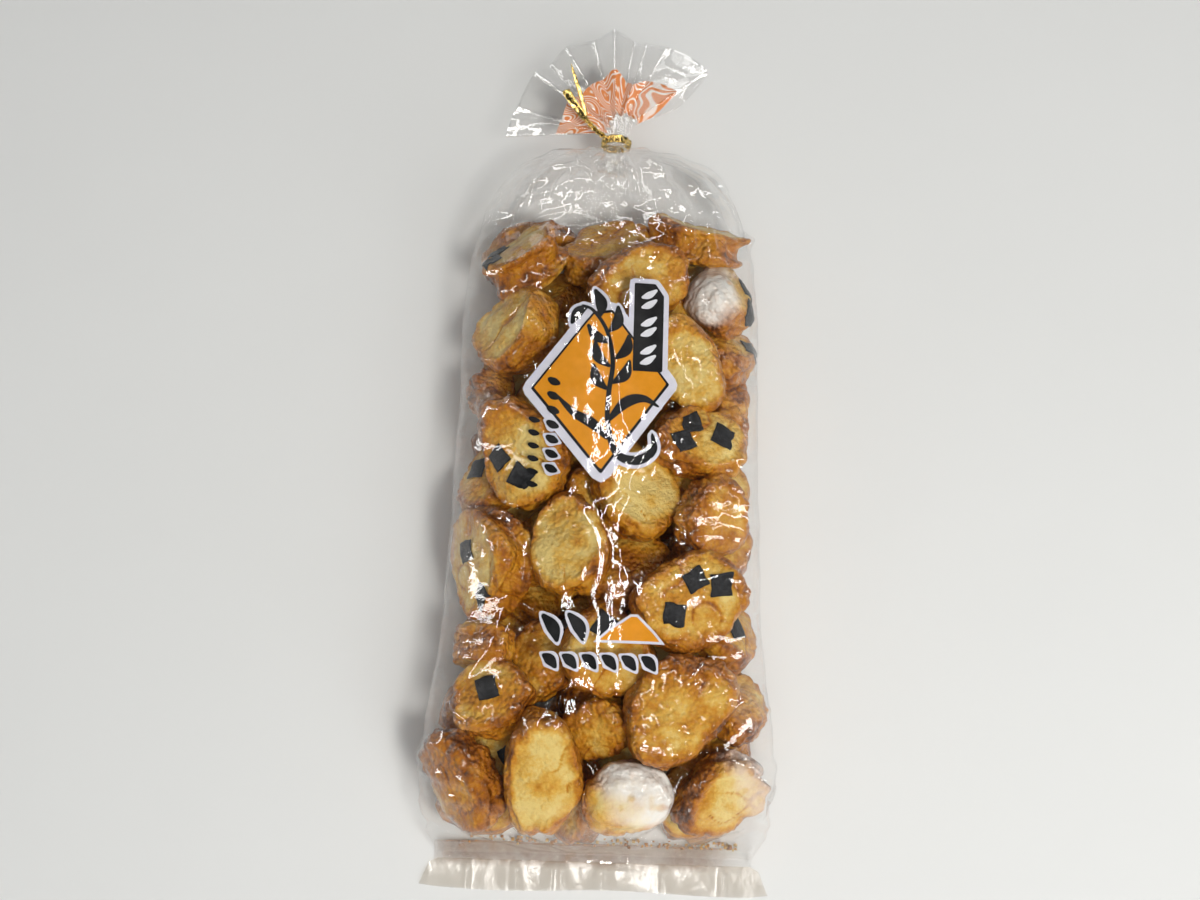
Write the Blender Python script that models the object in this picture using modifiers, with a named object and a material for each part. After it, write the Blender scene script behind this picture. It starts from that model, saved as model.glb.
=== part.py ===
"""A clear gusseted bag of rice crackers that lies on its back, gathered at the neck and closed by a gold twist tie.

The frame is in metres with +Z up. The bag lies along Y with its mouth at +Y, rests on the plane Z = 0, and the
origin is the middle of the rectangle that it covers. The filled bag is one solid out to its film. The twist tie is
a second solid, which clasps the neck.
"""

import math

import bmesh
import bpy
import numpy as np
from mathutils import Matrix, Vector

# Driving dimensions
BAG_LENGTH = 0.290  # from the cut edge of the bottom fin to the tip of the ruffle
FIN_LENGTH = 0.0095  # the flat sealed hem past the end wall
FIN_HALF_WIDTH = 0.055
FIN_THICKNESS = 0.0010
NECK_RADIUS = 0.0044
RUFFLE_RADIUS = 0.0405  # from the tie to the cut edge of the mouth
RUFFLE_THICKNESS = 0.0016  # front and back film with the air between them
PLEATS_AT_SHOULDER = 13
CRACKER_SPACING = 0.028  # how far apart the contents push the film out
TIE_WIDTH = 0.0034
TIE_THICKNESS = 0.0007
CLEARANCE = 0.0003

# Places that follow from them
FIN_END = -BAG_LENGTH / 2
FIN_FOLD = FIN_END + FIN_LENGTH
MOUTH = BAG_LENGTH / 2
TIE_Y = MOUTH - RUFFLE_RADIUS
RUFFLE_ROOT = TIE_Y + 0.0042  # the point that the folds of the ruffle fan out from
NECK_Z = 0.020
RING_POINTS = 80

# The filled body, from the end wall to just under the tie. Each row is one cross-section:
# (place along Y, half width, height of the underside, height of the widest line, height of the top).
BODY_STATIONS = (
    (-0.1318, 0.0515, 0.0, 0.0060, 0.0115),
    (-0.1285, 0.0530, 0.0, 0.0100, 0.0200),
    (-0.1245, 0.0545, 0.0, 0.0135, 0.0310),
    (-0.1180, 0.0565, 0.0, 0.0165, 0.0395),
    (-0.1080, 0.0575, 0.0, 0.0183, 0.0440),
    (-0.0950, 0.0562, 0.0, 0.0188, 0.0458),
    (-0.0800, 0.0540, 0.0, 0.0190, 0.0465),
    (-0.0590, 0.0512, 0.0, 0.0195, 0.0470),
    (-0.0030, 0.0495, 0.0, 0.0200, 0.0480),
    (0.0420, 0.0490, 0.0, 0.0200, 0.0470),
    (0.0670, 0.0472, 0.0, 0.0195, 0.0430),
    (0.0830, 0.0430, 0.0035, 0.0190, 0.0380),
    (0.0940, 0.0350, 0.0085, 0.0190, 0.0330),
    (0.0995, 0.0220, 0.0125, 0.0195, 0.0285),
)
SIDE_POWER = 0.72  # under 1 squares the section off towards its sides
TOP_POWER = 0.85
UNDERSIDE_POWER = 0.42  # flattens the belly that rests on the table
SINK = 0.0030  # how far the round belly would reach under the table, and so how wide its flat is

# The folds that open the ruffle, from right to left, as (share of the way round the film, angle from the bag's axis
# in degrees, lift of the fold, share of the full radius that the edge reaches)
RUFFLE_FOLDS = (
    (0.000, 58, 0.0010, 0.66),
    (0.075, 54, 0.0060, 1.03),
    (0.225, 27, -0.0010, 0.99),
    (0.325, 17, 0.0050, 0.92),
    (0.400, 9, -0.0030, 0.93),
    (0.475, -2, 0.0055, 1.00),
    (0.550, -13, -0.0035, 0.96),
    (0.650, -30, 0.0045, 0.94),
    (0.725, -46, -0.0030, 0.93),
    (0.800, -57, 0.0060, 0.94),
    (0.900, -76, -0.0020, 0.97),
    (1.000, -94, 0.0030, 1.02),
)


def smooth_track(stations, at):
    """Cubic curve through stations whose first value is the place and the rest are sizes, read at several places."""
    table = np.array(stations)
    places, sizes = table[:, 0], table[:, 1:]
    slopes = np.gradient(sizes, places, axis=0)
    at = np.clip(at, places[0], places[-1])
    left = np.clip(np.searchsorted(places, at, side="right") - 1, 0, len(places) - 2)
    span = (places[left + 1] - places[left])[:, None]
    t = ((at - places[left]) / span[:, 0])[:, None]
    start, end = sizes[left], sizes[left + 1]
    pull_start, pull_end = slopes[left] * span, slopes[left + 1] * span
    return (
        start * (2 * t**3 - 3 * t**2 + 1)
        + pull_start * (t**3 - 2 * t**2 + t)
        + end * (3 * t**2 - 2 * t**3)
        + pull_end * (t**3 - t**2)
    )


def signed_power(value, power):
    return np.sign(value) * np.abs(value) ** power


def ring_angles():
    """Angles round a cross-section: 0 is +X, a quarter turn is the top, and a half turn is -X."""
    return np.arange(RING_POINTS) * 2 * math.pi / RING_POINTS


def body_ring(y):
    """A cross-section of the filled body: a squared-off oval whose underside is cut flat by the table."""
    turn = ring_angles()
    half_width, low, wide, top = np.maximum(smooth_track(BODY_STATIONS, np.array([y]))[0], 0)
    x = half_width * signed_power(np.cos(turn), SIDE_POWER)
    up = np.sin(turn) > 0
    over = (top - wide) * np.abs(np.sin(turn)) ** TOP_POWER
    under = (wide - low + SINK) * np.abs(np.sin(turn)) ** UNDERSIDE_POWER
    z = wide + np.where(up, over, -under)
    return np.stack([x, np.full(RING_POINTS, y), np.maximum(z, low)], axis=1)


def fin_ring(y):
    """A cross-section of the bottom fin: two layers of film that lie flat on the table."""
    turn = ring_angles()
    x = FIN_HALF_WIDTH * signed_power(np.cos(turn), SIDE_POWER)
    layer = np.clip(np.sin(turn) * 8, -1, 1)
    z = FIN_THICKNESS * (1 + layer) / 2
    return np.stack([x, np.full(RING_POINTS, y), z], axis=1)


def neck_ring(y):
    """The round neck that the tie draws together."""
    turn = ring_angles()
    x, z = NECK_RADIUS * np.cos(turn), NECK_Z + NECK_RADIUS * np.sin(turn)
    return np.stack([x, np.full(RING_POINTS, y), z], axis=1)


def ruffle_ring(reach):
    """The ruffle at a share of its radius: front film from right to left, then back film from left to right."""
    turn = ring_angles()
    front = turn <= math.pi
    share = np.where(front, turn / math.pi, 2 - turn / math.pi)
    folds = np.array(RUFFLE_FOLDS)
    away, lift, edge = (np.interp(share, folds[:, 0], column) for column in folds[:, 1:].T)
    away = np.radians(away)
    radius = (MOUTH - RUFFLE_ROOT) * reach * (1 + (edge - 1) * reach)
    layer = np.clip(np.sin(turn) * 8, -1, 1) * RUFFLE_THICKNESS / 2
    z = NECK_Z + lift * reach + layer
    return np.stack([radius * np.sin(away), RUFFLE_ROOT + radius * np.cos(away), z], axis=1)


def pushed_out(ring):
    """The ring with the low bumps that the crackers press into the film, none of them under the bag."""
    x, y, z = ring.T
    wave = 2 * math.pi / CRACKER_SPACING
    bump = np.sin(wave * (x + 0.4 * z)) * np.sin(wave * (0.93 * y + 0.3 * x) + 0.8)
    inboard = 1 - np.abs(x) / np.abs(x).max()
    height = 0.0011 * bump * np.clip((z - 0.004) / 0.010, 0, 1) * np.clip(inboard / 0.12, 0, 1)
    centre = np.array([0.0, ring[0, 1], NECK_Z])
    outward = ring - centre
    outward /= np.linalg.norm(outward, axis=1)[:, None]
    return ring + outward * height[:, None]


def pleated(ring, depth):
    """The ring drawn in at regular pleats, as the film is where it runs into the neck."""
    centre = np.array([0.0, ring[0, 1], NECK_Z])
    draw = 1 + depth * np.cos(PLEATS_AT_SHOULDER * ring_angles())
    return centre + (ring - centre) * draw[:, None]


def blend(first, second, share):
    return first * (1 - share) + second * share


def bag_rings():
    """Every cross-section of the bag in order, from the fin's cut edge to the cut edge of the mouth."""
    body_start, body_end = BODY_STATIONS[0][0], BODY_STATIONS[-1][0]
    rings = [fin_ring(y) for y in np.linspace(FIN_END, FIN_FOLD, 3)]
    foot, wall = fin_ring(FIN_FOLD), body_ring(body_start)
    rings += [blend(foot, wall, share) for share in (0.35, 0.7)]
    fine_start = np.linspace(body_start, -0.112, 6)
    middle = np.linspace(-0.112, 0.076, 30)[1:]
    fine_end = np.linspace(0.076, body_end, 9)[1:]
    for y in np.concatenate([fine_start, middle, fine_end]):
        depth = 0.10 * max(0.0, (y - 0.078) / (body_end - 0.078))
        rings.append(pleated(pushed_out(body_ring(y)), depth))
    last, neck = rings[-1], neck_ring(TIE_Y - 0.0030)
    rings.append(blend(last, neck, 0.62))
    rings += [neck, neck_ring(TIE_Y), neck_ring(TIE_Y + 0.0022)]
    throat = neck_ring(TIE_Y + 0.0036)
    rings.append(blend(throat, ruffle_ring(0.17), 0.5))
    rings += [ruffle_ring(reach) for reach in np.linspace(0.2, 1.0, 8)]
    return rings


def end_cap(first, flip):
    """Faces that close a flat ring, from its front layer to its back layer. first is the ring's first vertex."""
    half = RING_POINTS // 2
    faces = [(0, 1, RING_POINTS - 1), (half - 1, half, half + 1)]
    faces += [(k, k + 1, RING_POINTS - k - 1, RING_POINTS - k) for k in range(1, half - 1)]
    faces = [tuple(first + k for k in face) for face in faces]
    return [face[::-1] for face in faces] if flip else faces


def loft(name, rings):
    """One closed mesh through rings of equal length, closed at both ends."""
    faces = end_cap(0, False) + end_cap(len(rings[:-1]) * RING_POINTS, True)
    for row in range(len(rings) - 1):
        here, there = row * RING_POINTS, (row + 1) * RING_POINTS
        for k in range(RING_POINTS):
            after = (k + 1) % RING_POINTS
            faces.append((here + k, there + k, there + after, here + after))
    mesh = bpy.data.meshes.new(name)
    mesh.from_pydata(np.concatenate(rings).tolist(), [], faces)
    mesh.validate()
    return bpy.data.objects.new(name, mesh)


def ribbon(name, path, half_widths, half_thicknesses, rolls):
    """A strip with rounded edges swept along a path: an eight-sided section, turned about the path by its roll."""
    built = bmesh.new()
    path = [Vector(point) for point in path]
    corners = [(1, 0.45), (0.8, 1), (-0.8, 1), (-1, 0.45), (-1, -0.45), (-0.8, -1), (0.8, -1), (1, -0.45)]
    rows = []
    for i, point in enumerate(path):
        ahead, behind = path[min(i + 1, len(path) - 1)], path[max(i - 1, 0)]
        along = (ahead - behind).normalized()
        across = along.cross(Vector((0, 0, 1))).normalized()
        turned = Matrix.Rotation(rolls[i], 3, along)
        side, lift = turned @ across, turned @ across.cross(along)
        row = [
            built.verts.new(point + side * a * half_widths[i] + lift * b * half_thicknesses[i])
            for a, b in corners
        ]
        rows.append(row)
    for first, second in zip(rows[:-1], rows[1:]):
        for k in range(len(corners)):
            after = (k + 1) % len(corners)
            built.faces.new((first[k], first[after], second[after], second[k]))
    built.faces.new(rows[0][::-1])
    built.faces.new(rows[-1])
    bmesh.ops.recalc_face_normals(built, faces=built.faces)
    mesh = bpy.data.meshes.new(name)
    built.to_mesh(mesh)
    built.free()
    return bpy.data.objects.new(name, mesh)


def tie_loop(name):
    """The band of the tie that clasps the neck: a turned strip, with its axis along the neck."""
    inner = NECK_RADIUS + CLEARANCE
    outer = inner + TIE_THICKNESS
    profile = [
        (outer, TIE_WIDTH / 2),
        (outer, -TIE_WIDTH / 2),
        (inner, -TIE_WIDTH / 2),
        (inner, TIE_WIDTH / 2),
    ]
    mesh = bpy.data.meshes.new(name)
    edges = [(k, (k + 1) % 4) for k in range(4)]
    mesh.from_pydata([(r, 0, z) for r, z in profile], edges, [])
    band = bpy.data.objects.new(name, mesh)
    turn = band.modifiers.new("turn", "SCREW")
    turn.axis, turn.angle = "Z", 2 * math.pi
    turn.steps = turn.render_steps = 40
    turn.use_merge_vertices, turn.merge_threshold = True, 0.00005
    band.location = (0, TIE_Y, NECK_Z)
    band.rotation_euler = (math.pi / 2, 0, 0)
    return band


def curved_path(points, count):
    """Points spaced evenly in number along a smooth curve through the given ones."""
    table = [(i, *point) for i, point in enumerate(points)]
    return smooth_track(table, np.linspace(0, len(points) - 1, count))


def tie_twist(name):
    """The two ends of the tie wound round each other, then the long tail, which stands up over the ruffle."""
    knot = NECK_RADIUS + CLEARANCE + 0.0013
    start = np.array([-knot * 0.55, TIE_Y, NECK_Z + knot * 0.84])
    points = [
        start,
        start + [-0.0040, 0.0028, 0.0022],
        start + [-0.0078, 0.0068, 0.0040],
        start + [-0.0098, 0.0140, 0.0062],
        start + [-0.0128, 0.0240, 0.0078],
    ]
    path = curved_path(points, 34)
    t = np.linspace(0, 1, len(path))
    wound = np.clip((0.52 - t) / 0.04, 0, 1)
    taper = 1 - 0.75 * np.clip((t - 0.6) / 0.4, 0, 1) ** 2
    half_widths = (0.00105 * wound + 0.00120 * (1 - wound)) * taper
    half_thicknesses = 0.00070 * wound + 0.00038 * (1 - wound)
    rolls = 2 * math.pi * 2.5 * np.minimum(t, 0.52) / 0.52 + 0.5 * (t > 0.52)
    return ribbon(name, path, half_widths, half_thicknesses, rolls), path


def tie_short_tail(name, twist_path):
    """The second tail, which leaves the end of the twist at a wider angle and is cut square."""
    start = np.array(twist_path[15])
    points = [
        start,
        start + [-0.0034, 0.0036, 0.0010],
        start + [-0.0066, 0.0078, 0.0014],
        start + [-0.0094, 0.0128, 0.0010],
    ]
    path = curved_path(points, 14)
    widths = np.linspace(0.00090, 0.00150, len(path))
    return ribbon(name, path, widths, np.full(len(path), 0.00036), np.linspace(0.9, 0.15, len(path)))


def joined(name, pieces, cutters):
    """One closed solid from overlapping pieces. The joined-on ones are kept as hidden guides."""
    base, *others = pieces
    for number, other in enumerate(others):
        cutters.objects.link(other)
        other.hide_render, other.display_type = True, "WIRE"
        join = base.modifiers.new(f"join_{number}", "BOOLEAN")
        join.operation, join.object, join.solver = "UNION", other, "EXACT"
    base.name = name
    return base


def plain_material(name, colour, roughness, metallic=0.0, alpha=1.0):
    material = bpy.data.materials.new(name)
    material.use_nodes = True
    shader = material.node_tree.nodes["Principled BSDF"]
    shader.inputs["Base Color"].default_value = (*colour, 1)
    shader.inputs["Roughness"].default_value = roughness
    shader.inputs["Metallic"].default_value = metallic
    shader.inputs["Alpha"].default_value = alpha
    return material


def finish(thing, collection, material, sharp_over):
    """Puts a part in the bag's collection with its material, shaded smooth except at edges over the given angle."""
    collection.objects.link(thing)
    thing.data.materials.append(material)
    thing.data.shade_smooth()
    thing.data.set_sharp_from_angle(angle=math.radians(sharp_over))


def main():
    for thing in list(bpy.data.objects):
        bpy.data.objects.remove(thing, do_unlink=True)
    parts = bpy.data.collections.new("rice_cracker_bag")
    cutters = bpy.data.collections.new("joined_on_pieces")
    for collection in (parts, cutters):
        bpy.context.scene.collection.children.link(collection)

    golden = plain_material("crackers_in_film", (0.52, 0.29, 0.07), 0.25)
    foil = plain_material("gold_foil", (0.83, 0.58, 0.20), 0.22, metallic=1.0)

    finish(loft("bag", bag_rings()), parts, golden, 50)
    twist, twist_path = tie_twist("tie_twist")
    tail = tie_short_tail("tie_short_tail", twist_path)
    finish(joined("twist_tie", [tie_loop("tie_loop"), twist, tail], cutters), parts, foil, 35)


main()
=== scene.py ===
# %% [markdown]
# # A bag of rice crackers
#
# This lesson builds a clear film bag of fried rice crackers that lies on a table. A solid model of the bag gives its
# size and place. What it can't give is what we see: the crackers, the seaweed on them, the thin shiny film that is
# pulled tight over them, the print on the film, and the foil tie at the neck. Each of those is a short step below.

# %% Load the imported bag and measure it
import math
from itertools import product

import bmesh
import bpy
import numpy as np
from mathutils import Matrix, Vector


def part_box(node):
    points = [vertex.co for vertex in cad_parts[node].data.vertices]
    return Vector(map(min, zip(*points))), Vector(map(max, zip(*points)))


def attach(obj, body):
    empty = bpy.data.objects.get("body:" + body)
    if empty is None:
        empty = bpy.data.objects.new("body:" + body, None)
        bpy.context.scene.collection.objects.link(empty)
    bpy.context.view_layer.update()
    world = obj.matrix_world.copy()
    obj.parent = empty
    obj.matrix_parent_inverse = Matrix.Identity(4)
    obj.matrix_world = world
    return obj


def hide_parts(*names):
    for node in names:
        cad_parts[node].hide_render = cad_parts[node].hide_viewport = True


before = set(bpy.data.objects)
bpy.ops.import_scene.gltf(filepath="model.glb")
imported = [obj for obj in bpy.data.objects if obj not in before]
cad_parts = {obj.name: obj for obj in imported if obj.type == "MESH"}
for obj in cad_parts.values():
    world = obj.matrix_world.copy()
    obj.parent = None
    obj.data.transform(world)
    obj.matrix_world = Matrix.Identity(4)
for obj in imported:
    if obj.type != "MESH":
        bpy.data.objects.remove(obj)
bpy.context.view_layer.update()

MM = 0.001
bag_low, bag_high = (np.array(corner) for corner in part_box("bag"))
tie_low, _ = (np.array(corner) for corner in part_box("twist_tie"))
print("the bag measures", np.round((bag_high - bag_low) / MM, 1), "mm")

# %% [markdown]
# ## The camera
#
# The camera comes first, so that every later step can be judged through it. The bag lies down, so the camera looks
# down on it, tipped a little towards the sealed end, and turned so that the bag leans slightly to the right.

# %% Camera
CAMERA_DISTANCE = 0.600
CAMERA_TILT = math.radians(12)
CAMERA_ROLL = math.radians(1.8)
CAMERA_LENS = 54.6  # in mm, on a sensor 36 mm wide
CAMERA_TARGET = Vector((-0.0022, -0.0025, 0.020))


def add_camera(target):
    """A camera on a line that is tilted from straight up towards -Y, rolled about that line."""
    camera = bpy.data.objects.new("camera", bpy.data.cameras.new("camera"))
    bpy.context.scene.collection.objects.link(camera)
    aim = Matrix.Rotation(CAMERA_TILT, 4, "X") @ Matrix.Rotation(CAMERA_ROLL, 4, "Z")
    camera.matrix_world = Matrix.Translation(target) @ aim @ Matrix.Translation((0, 0, CAMERA_DISTANCE))
    camera.data.sensor_width = 36
    camera.data.lens = CAMERA_LENS
    camera.data.clip_start, camera.data.clip_end = 0.01, 20
    bpy.context.scene.camera = camera


add_camera(CAMERA_TARGET)
print("camera at", np.round(np.array(bpy.context.scene.camera.matrix_world.translation), 3))

# %% [markdown]
# ## Two tools: lumps and grids
#
# Fried rice dough is lumpy at every scale, and so is crumpled film. The lumps here are made as lattice noise: random
# values at the corners of a cubic lattice, blended smoothly in between. Every surface is a grid of points worked out
# as one array, and one helper turns such a grid into a mesh.


# %% Lumps
def lumps(points, size, seed):
    """Smooth random lumps from -1 to 1. Each corner of a cubic lattice of the given size gets a hashed random value,
    and a point takes the blend of its cell's eight corners, eased by 3t^2 - 2t^3 along each side."""
    scaled = points / size + 1000.5
    cell = np.floor(scaled)
    ease = scaled - cell
    ease = ease * ease * (3 - 2 * ease)
    cell = cell.astype(np.int64)
    total = np.zeros(points.shape[:-1])
    for corner in product((0, 1), repeat=3):
        mixed = (cell + corner) @ np.array([73856093, 19349663, 83492791]) + seed * 15485863
        mixed = (mixed ^ (mixed >> 13)) * 1274126177 & 0x7FFFFFFF
        mixed = (mixed ^ (mixed >> 11)) * 668265263 & 0x7FFFFFFF
        value = ((mixed >> 7) & 0xFFFF) / 32767.5 - 1
        total += value * np.prod(np.where(corner, ease, 1 - ease), axis=-1)
    return total


def smooth_step(low, high, value):
    """0 below low, 1 above high, and an eased ramp in between."""
    t = np.clip((value - low) / (high - low), 0, 1)
    return t * t * (3 - 2 * t)


# %% Grids into meshes
def grid_quads(rows, columns, around):
    """The four corner numbers of each cell of a grid, with its last column joined to its first if it goes around."""
    number = np.arange(rows * columns).reshape(rows, columns)
    here = number if around else number[:, :-1]
    after = np.roll(number, -1, axis=1) if around else number[:, 1:]
    return np.stack([here[:-1], after[:-1], after[1:], here[1:]], axis=-1).reshape(-1, 4)


def sheet_of(grid, around=False, turned=False):
    """The points and faces of a grid of points. Its faces can be turned over."""
    quads = grid_quads(*grid.shape[:2], around)
    return grid.reshape(-1, 3), (quads[:, ::-1] if turned else quads).tolist()


def at(x, y, z):
    """Points from their coordinates, which are first spread to one shape."""
    return np.stack(np.broadcast_arrays(x, y, z), axis=-1)


def mesh_of(name, sheets, **attributes):
    """One smooth mesh of several (points, faces) pairs, with named numbers stored at its points."""
    starts = np.cumsum([0] + [len(points) for points, _ in sheets[:-1]])
    faces = [[corner + int(start) for corner in face] for start, (_, own) in zip(starts, sheets) for face in own]
    mesh = bpy.data.meshes.new(name)
    mesh.from_pydata(np.concatenate([points for points, _ in sheets]).tolist(), [], faces)
    for key, values in attributes.items():
        layer = mesh.attributes.new(key, "FLOAT", "POINT")
        layer.data.foreach_set("value", np.asarray(values, np.float32).ravel())
    mesh.shade_smooth()
    return mesh


def piece_of(name, mesh, material):
    """A scene object at the origin that shows the mesh in the material."""
    thing = bpy.data.objects.new(name, mesh)
    bpy.context.scene.collection.objects.link(thing)
    mesh.materials.append(material)
    return thing


print("lumps at three places:", np.round(lumps(np.array([[0, 0, 0], [0.3, 0, 0], [0.6, 0, 0]]), 1.0, 4), 3))

# %% [markdown]
# ## The shape of one cracker
#
# A cracker starts as a slab of rice dough. In hot oil its skin sets and its inside puffs, so it ends as a fat disc
# with a blunt rim. The two skins often part along the rim, which leaves a groove there. One formula with a dozen
# numbers covers them all: a squared-off ellipsoid, dished on one face, grooved at the rim, bent, and covered in
# lumps. Direction numbers go in and points come out, so the same formula later places the seaweed on the skin.

# %% Cracker formula
KINDS = {  # toast: browning from 0 to 1. dish: how far the face sinks, in mm. layers: depth of the groove in the rim.
    # blister: height of the blisters. puff: how white. rim: browning added at the rim. square: power of the section.
    "plain": dict(toast=0.10, dish=0.9, layers=0.06, blister=0.55, puff=0.0, rim=0.46, square=3.6),
    "gold": dict(toast=0.27, dish=0.7, layers=0.07, blister=0.85, puff=0.0, rim=0.36, square=3.1),
    "toasty": dict(toast=0.46, dish=0.4, layers=0.06, blister=1.7, puff=0.0, rim=0.22, square=2.8),
    "split": dict(toast=0.20, dish=0.7, layers=0.24, blister=0.9, puff=0.0, rim=0.42, square=3.8),
    "puffed": dict(toast=0.26, dish=-0.6, layers=0.03, blister=0.7, puff=1.0, rim=0.40, square=2.5),
    "folded": dict(toast=0.28, dish=1.6, layers=0.20, blister=1.3, puff=0.5, rim=0.45, square=2.6),
}
BEND = 0.09  # how much a cracker is bent along its length


def cracker_skin(around, up, cracker):
    """Points of a cracker's skin, with its browning and its white puff, in the directions given.

    A direction is an angle around the rim and an angle up from it. The reach from the middle is cos(up), and the
    height is what is left of 1 by reach^p + height^p = 1, so a power p over 2 gives flat faces and a blunt rim. The
    outline is a circle plus waves of 2 and 3 to the turn, and lobes: the size of lumps round the rim, which makes
    round knobs with sharp notches between them. The upper face sinks by a dish inside a raised lip, the rim by a
    groove of exp(-(up/0.17)^2), and the whole disc bends as z + k x^2. Last, lumps, blisters and wrinkles move each
    point along the skin's outward direction. A wrinkle is a valley where slow lumps pass zero."""
    own = KINDS[cracker["kind"]]
    seed = cracker["seed"]
    phase = np.random.default_rng(seed).uniform(0, 2 * math.pi, 6)
    length, width, depth = (size / 2 for size in cracker["size"])
    ring = at(np.cos(around), np.sin(around), 0.55 * up + 7.3 * seed)
    lobes = 0.14 * (np.abs(lumps(ring, 0.56, 9)) - 0.4) + 0.05 * (np.abs(lumps(ring, 0.27, 10)) - 0.4)
    outline = 1 + 0.05 * np.cos(2 * around + phase[0]) + 0.05 * np.cos(3 * around + phase[1]) + lobes
    reach = np.clip(np.cos(up), 0, 1)
    x, y = length * outline * reach * np.cos(around), width * outline * reach * np.sin(around)
    z = depth * np.sign(up) * (1 - reach ** own["square"]) ** (1 / own["square"])
    flat = at(x / MM + seed * 31.0, y / MM, seed)
    edge = reach * (1 + 0.09 * np.cos(around - phase[5])) + 0.07 * lumps(flat, 8, 12)
    bowl, lip = smooth_step(0.84, 0.60, edge), np.exp(-(((edge - 0.86) / 0.07) ** 2))
    z = z - np.where(up > 0, own["dish"] * bowl - 0.45 * lip, -0.3 * own["dish"] * bowl) * MM
    wander = 0.12 * np.sin(2 * around + phase[3]) + 0.06 * np.sin(5 * around + phase[4])
    groove = own["layers"] * np.exp(-(((up - wander) / 0.17) ** 2)) * (0.75 + 0.5 * np.sin(around + phase[5]))
    x, y = x * (1 - groove), y * (1 - groove)
    z = z + BEND * (x * x / length - 0.4 * y * y / width)
    points = at(x, y, z)
    outward = points / [length**2, width**2, depth**2]
    outward /= np.linalg.norm(outward, axis=-1)[..., None] + 1e-12
    place = points / MM + seed * 61.0
    rimness = smooth_step(0.64, 0.93, edge)
    big, middle = lumps(place, 12, 1), lumps(place, 5, 2)
    wrinkle = 1 - np.clip(np.abs(lumps(place * [1, 1, 2.0], 6.5, 5)) / 0.24, 0, 1)
    crack = 1 - np.clip(np.abs(lumps(place * [1, 1, 0.3], 9, 11)) / 0.06, 0, 1)
    crack = crack * (1 - rimness) * smooth_step(0.0, 0.3, lumps(place, 12, 13))
    bubbles = np.abs(lumps(place, 2.5, 3)) + 0.45 * np.abs(lumps(place, 1.5, 4))
    lift = 0.95 * big + 0.55 * middle + own["blister"] * (0.25 + 0.75 * rimness) * 0.62 * bubbles
    lift += -0.85 * wrinkle * (0.22 + 0.78 * rimness) - 0.55 * crack
    towards = np.array(cracker.get("white", (np.cos(phase[0]), np.sin(phase[0]), 0.5)), float)
    side = (points @ towards) / np.linalg.norm(towards) / max(length, width)
    puff = own["puff"] * smooth_step(0.08, 0.62, side + 0.22 * lumps(place, 7, 8))
    puff *= 1 - 0.5 * smooth_step(0.40, 0.75, lumps(place, 3.0, 14))
    lift = lift - puff * (lift - 1.3 * big - 0.9 * middle - 0.3 * bubbles - 0.6)
    points = points + outward * (lift * MM)[..., None]
    toast = own["toast"] + own["rim"] * rimness + 0.24 * lumps(place, 9, 6) + 0.18 * lumps(place, 4, 7)
    toast += 0.16 * wrinkle * (0.25 + rimness) + 0.45 * crack - 0.10 * big + 0.08 * own["blister"] * (bubbles - 0.5)
    return points, np.clip(toast, 0, 1), puff


print("kinds of cracker:", ", ".join(KINDS))
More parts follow.
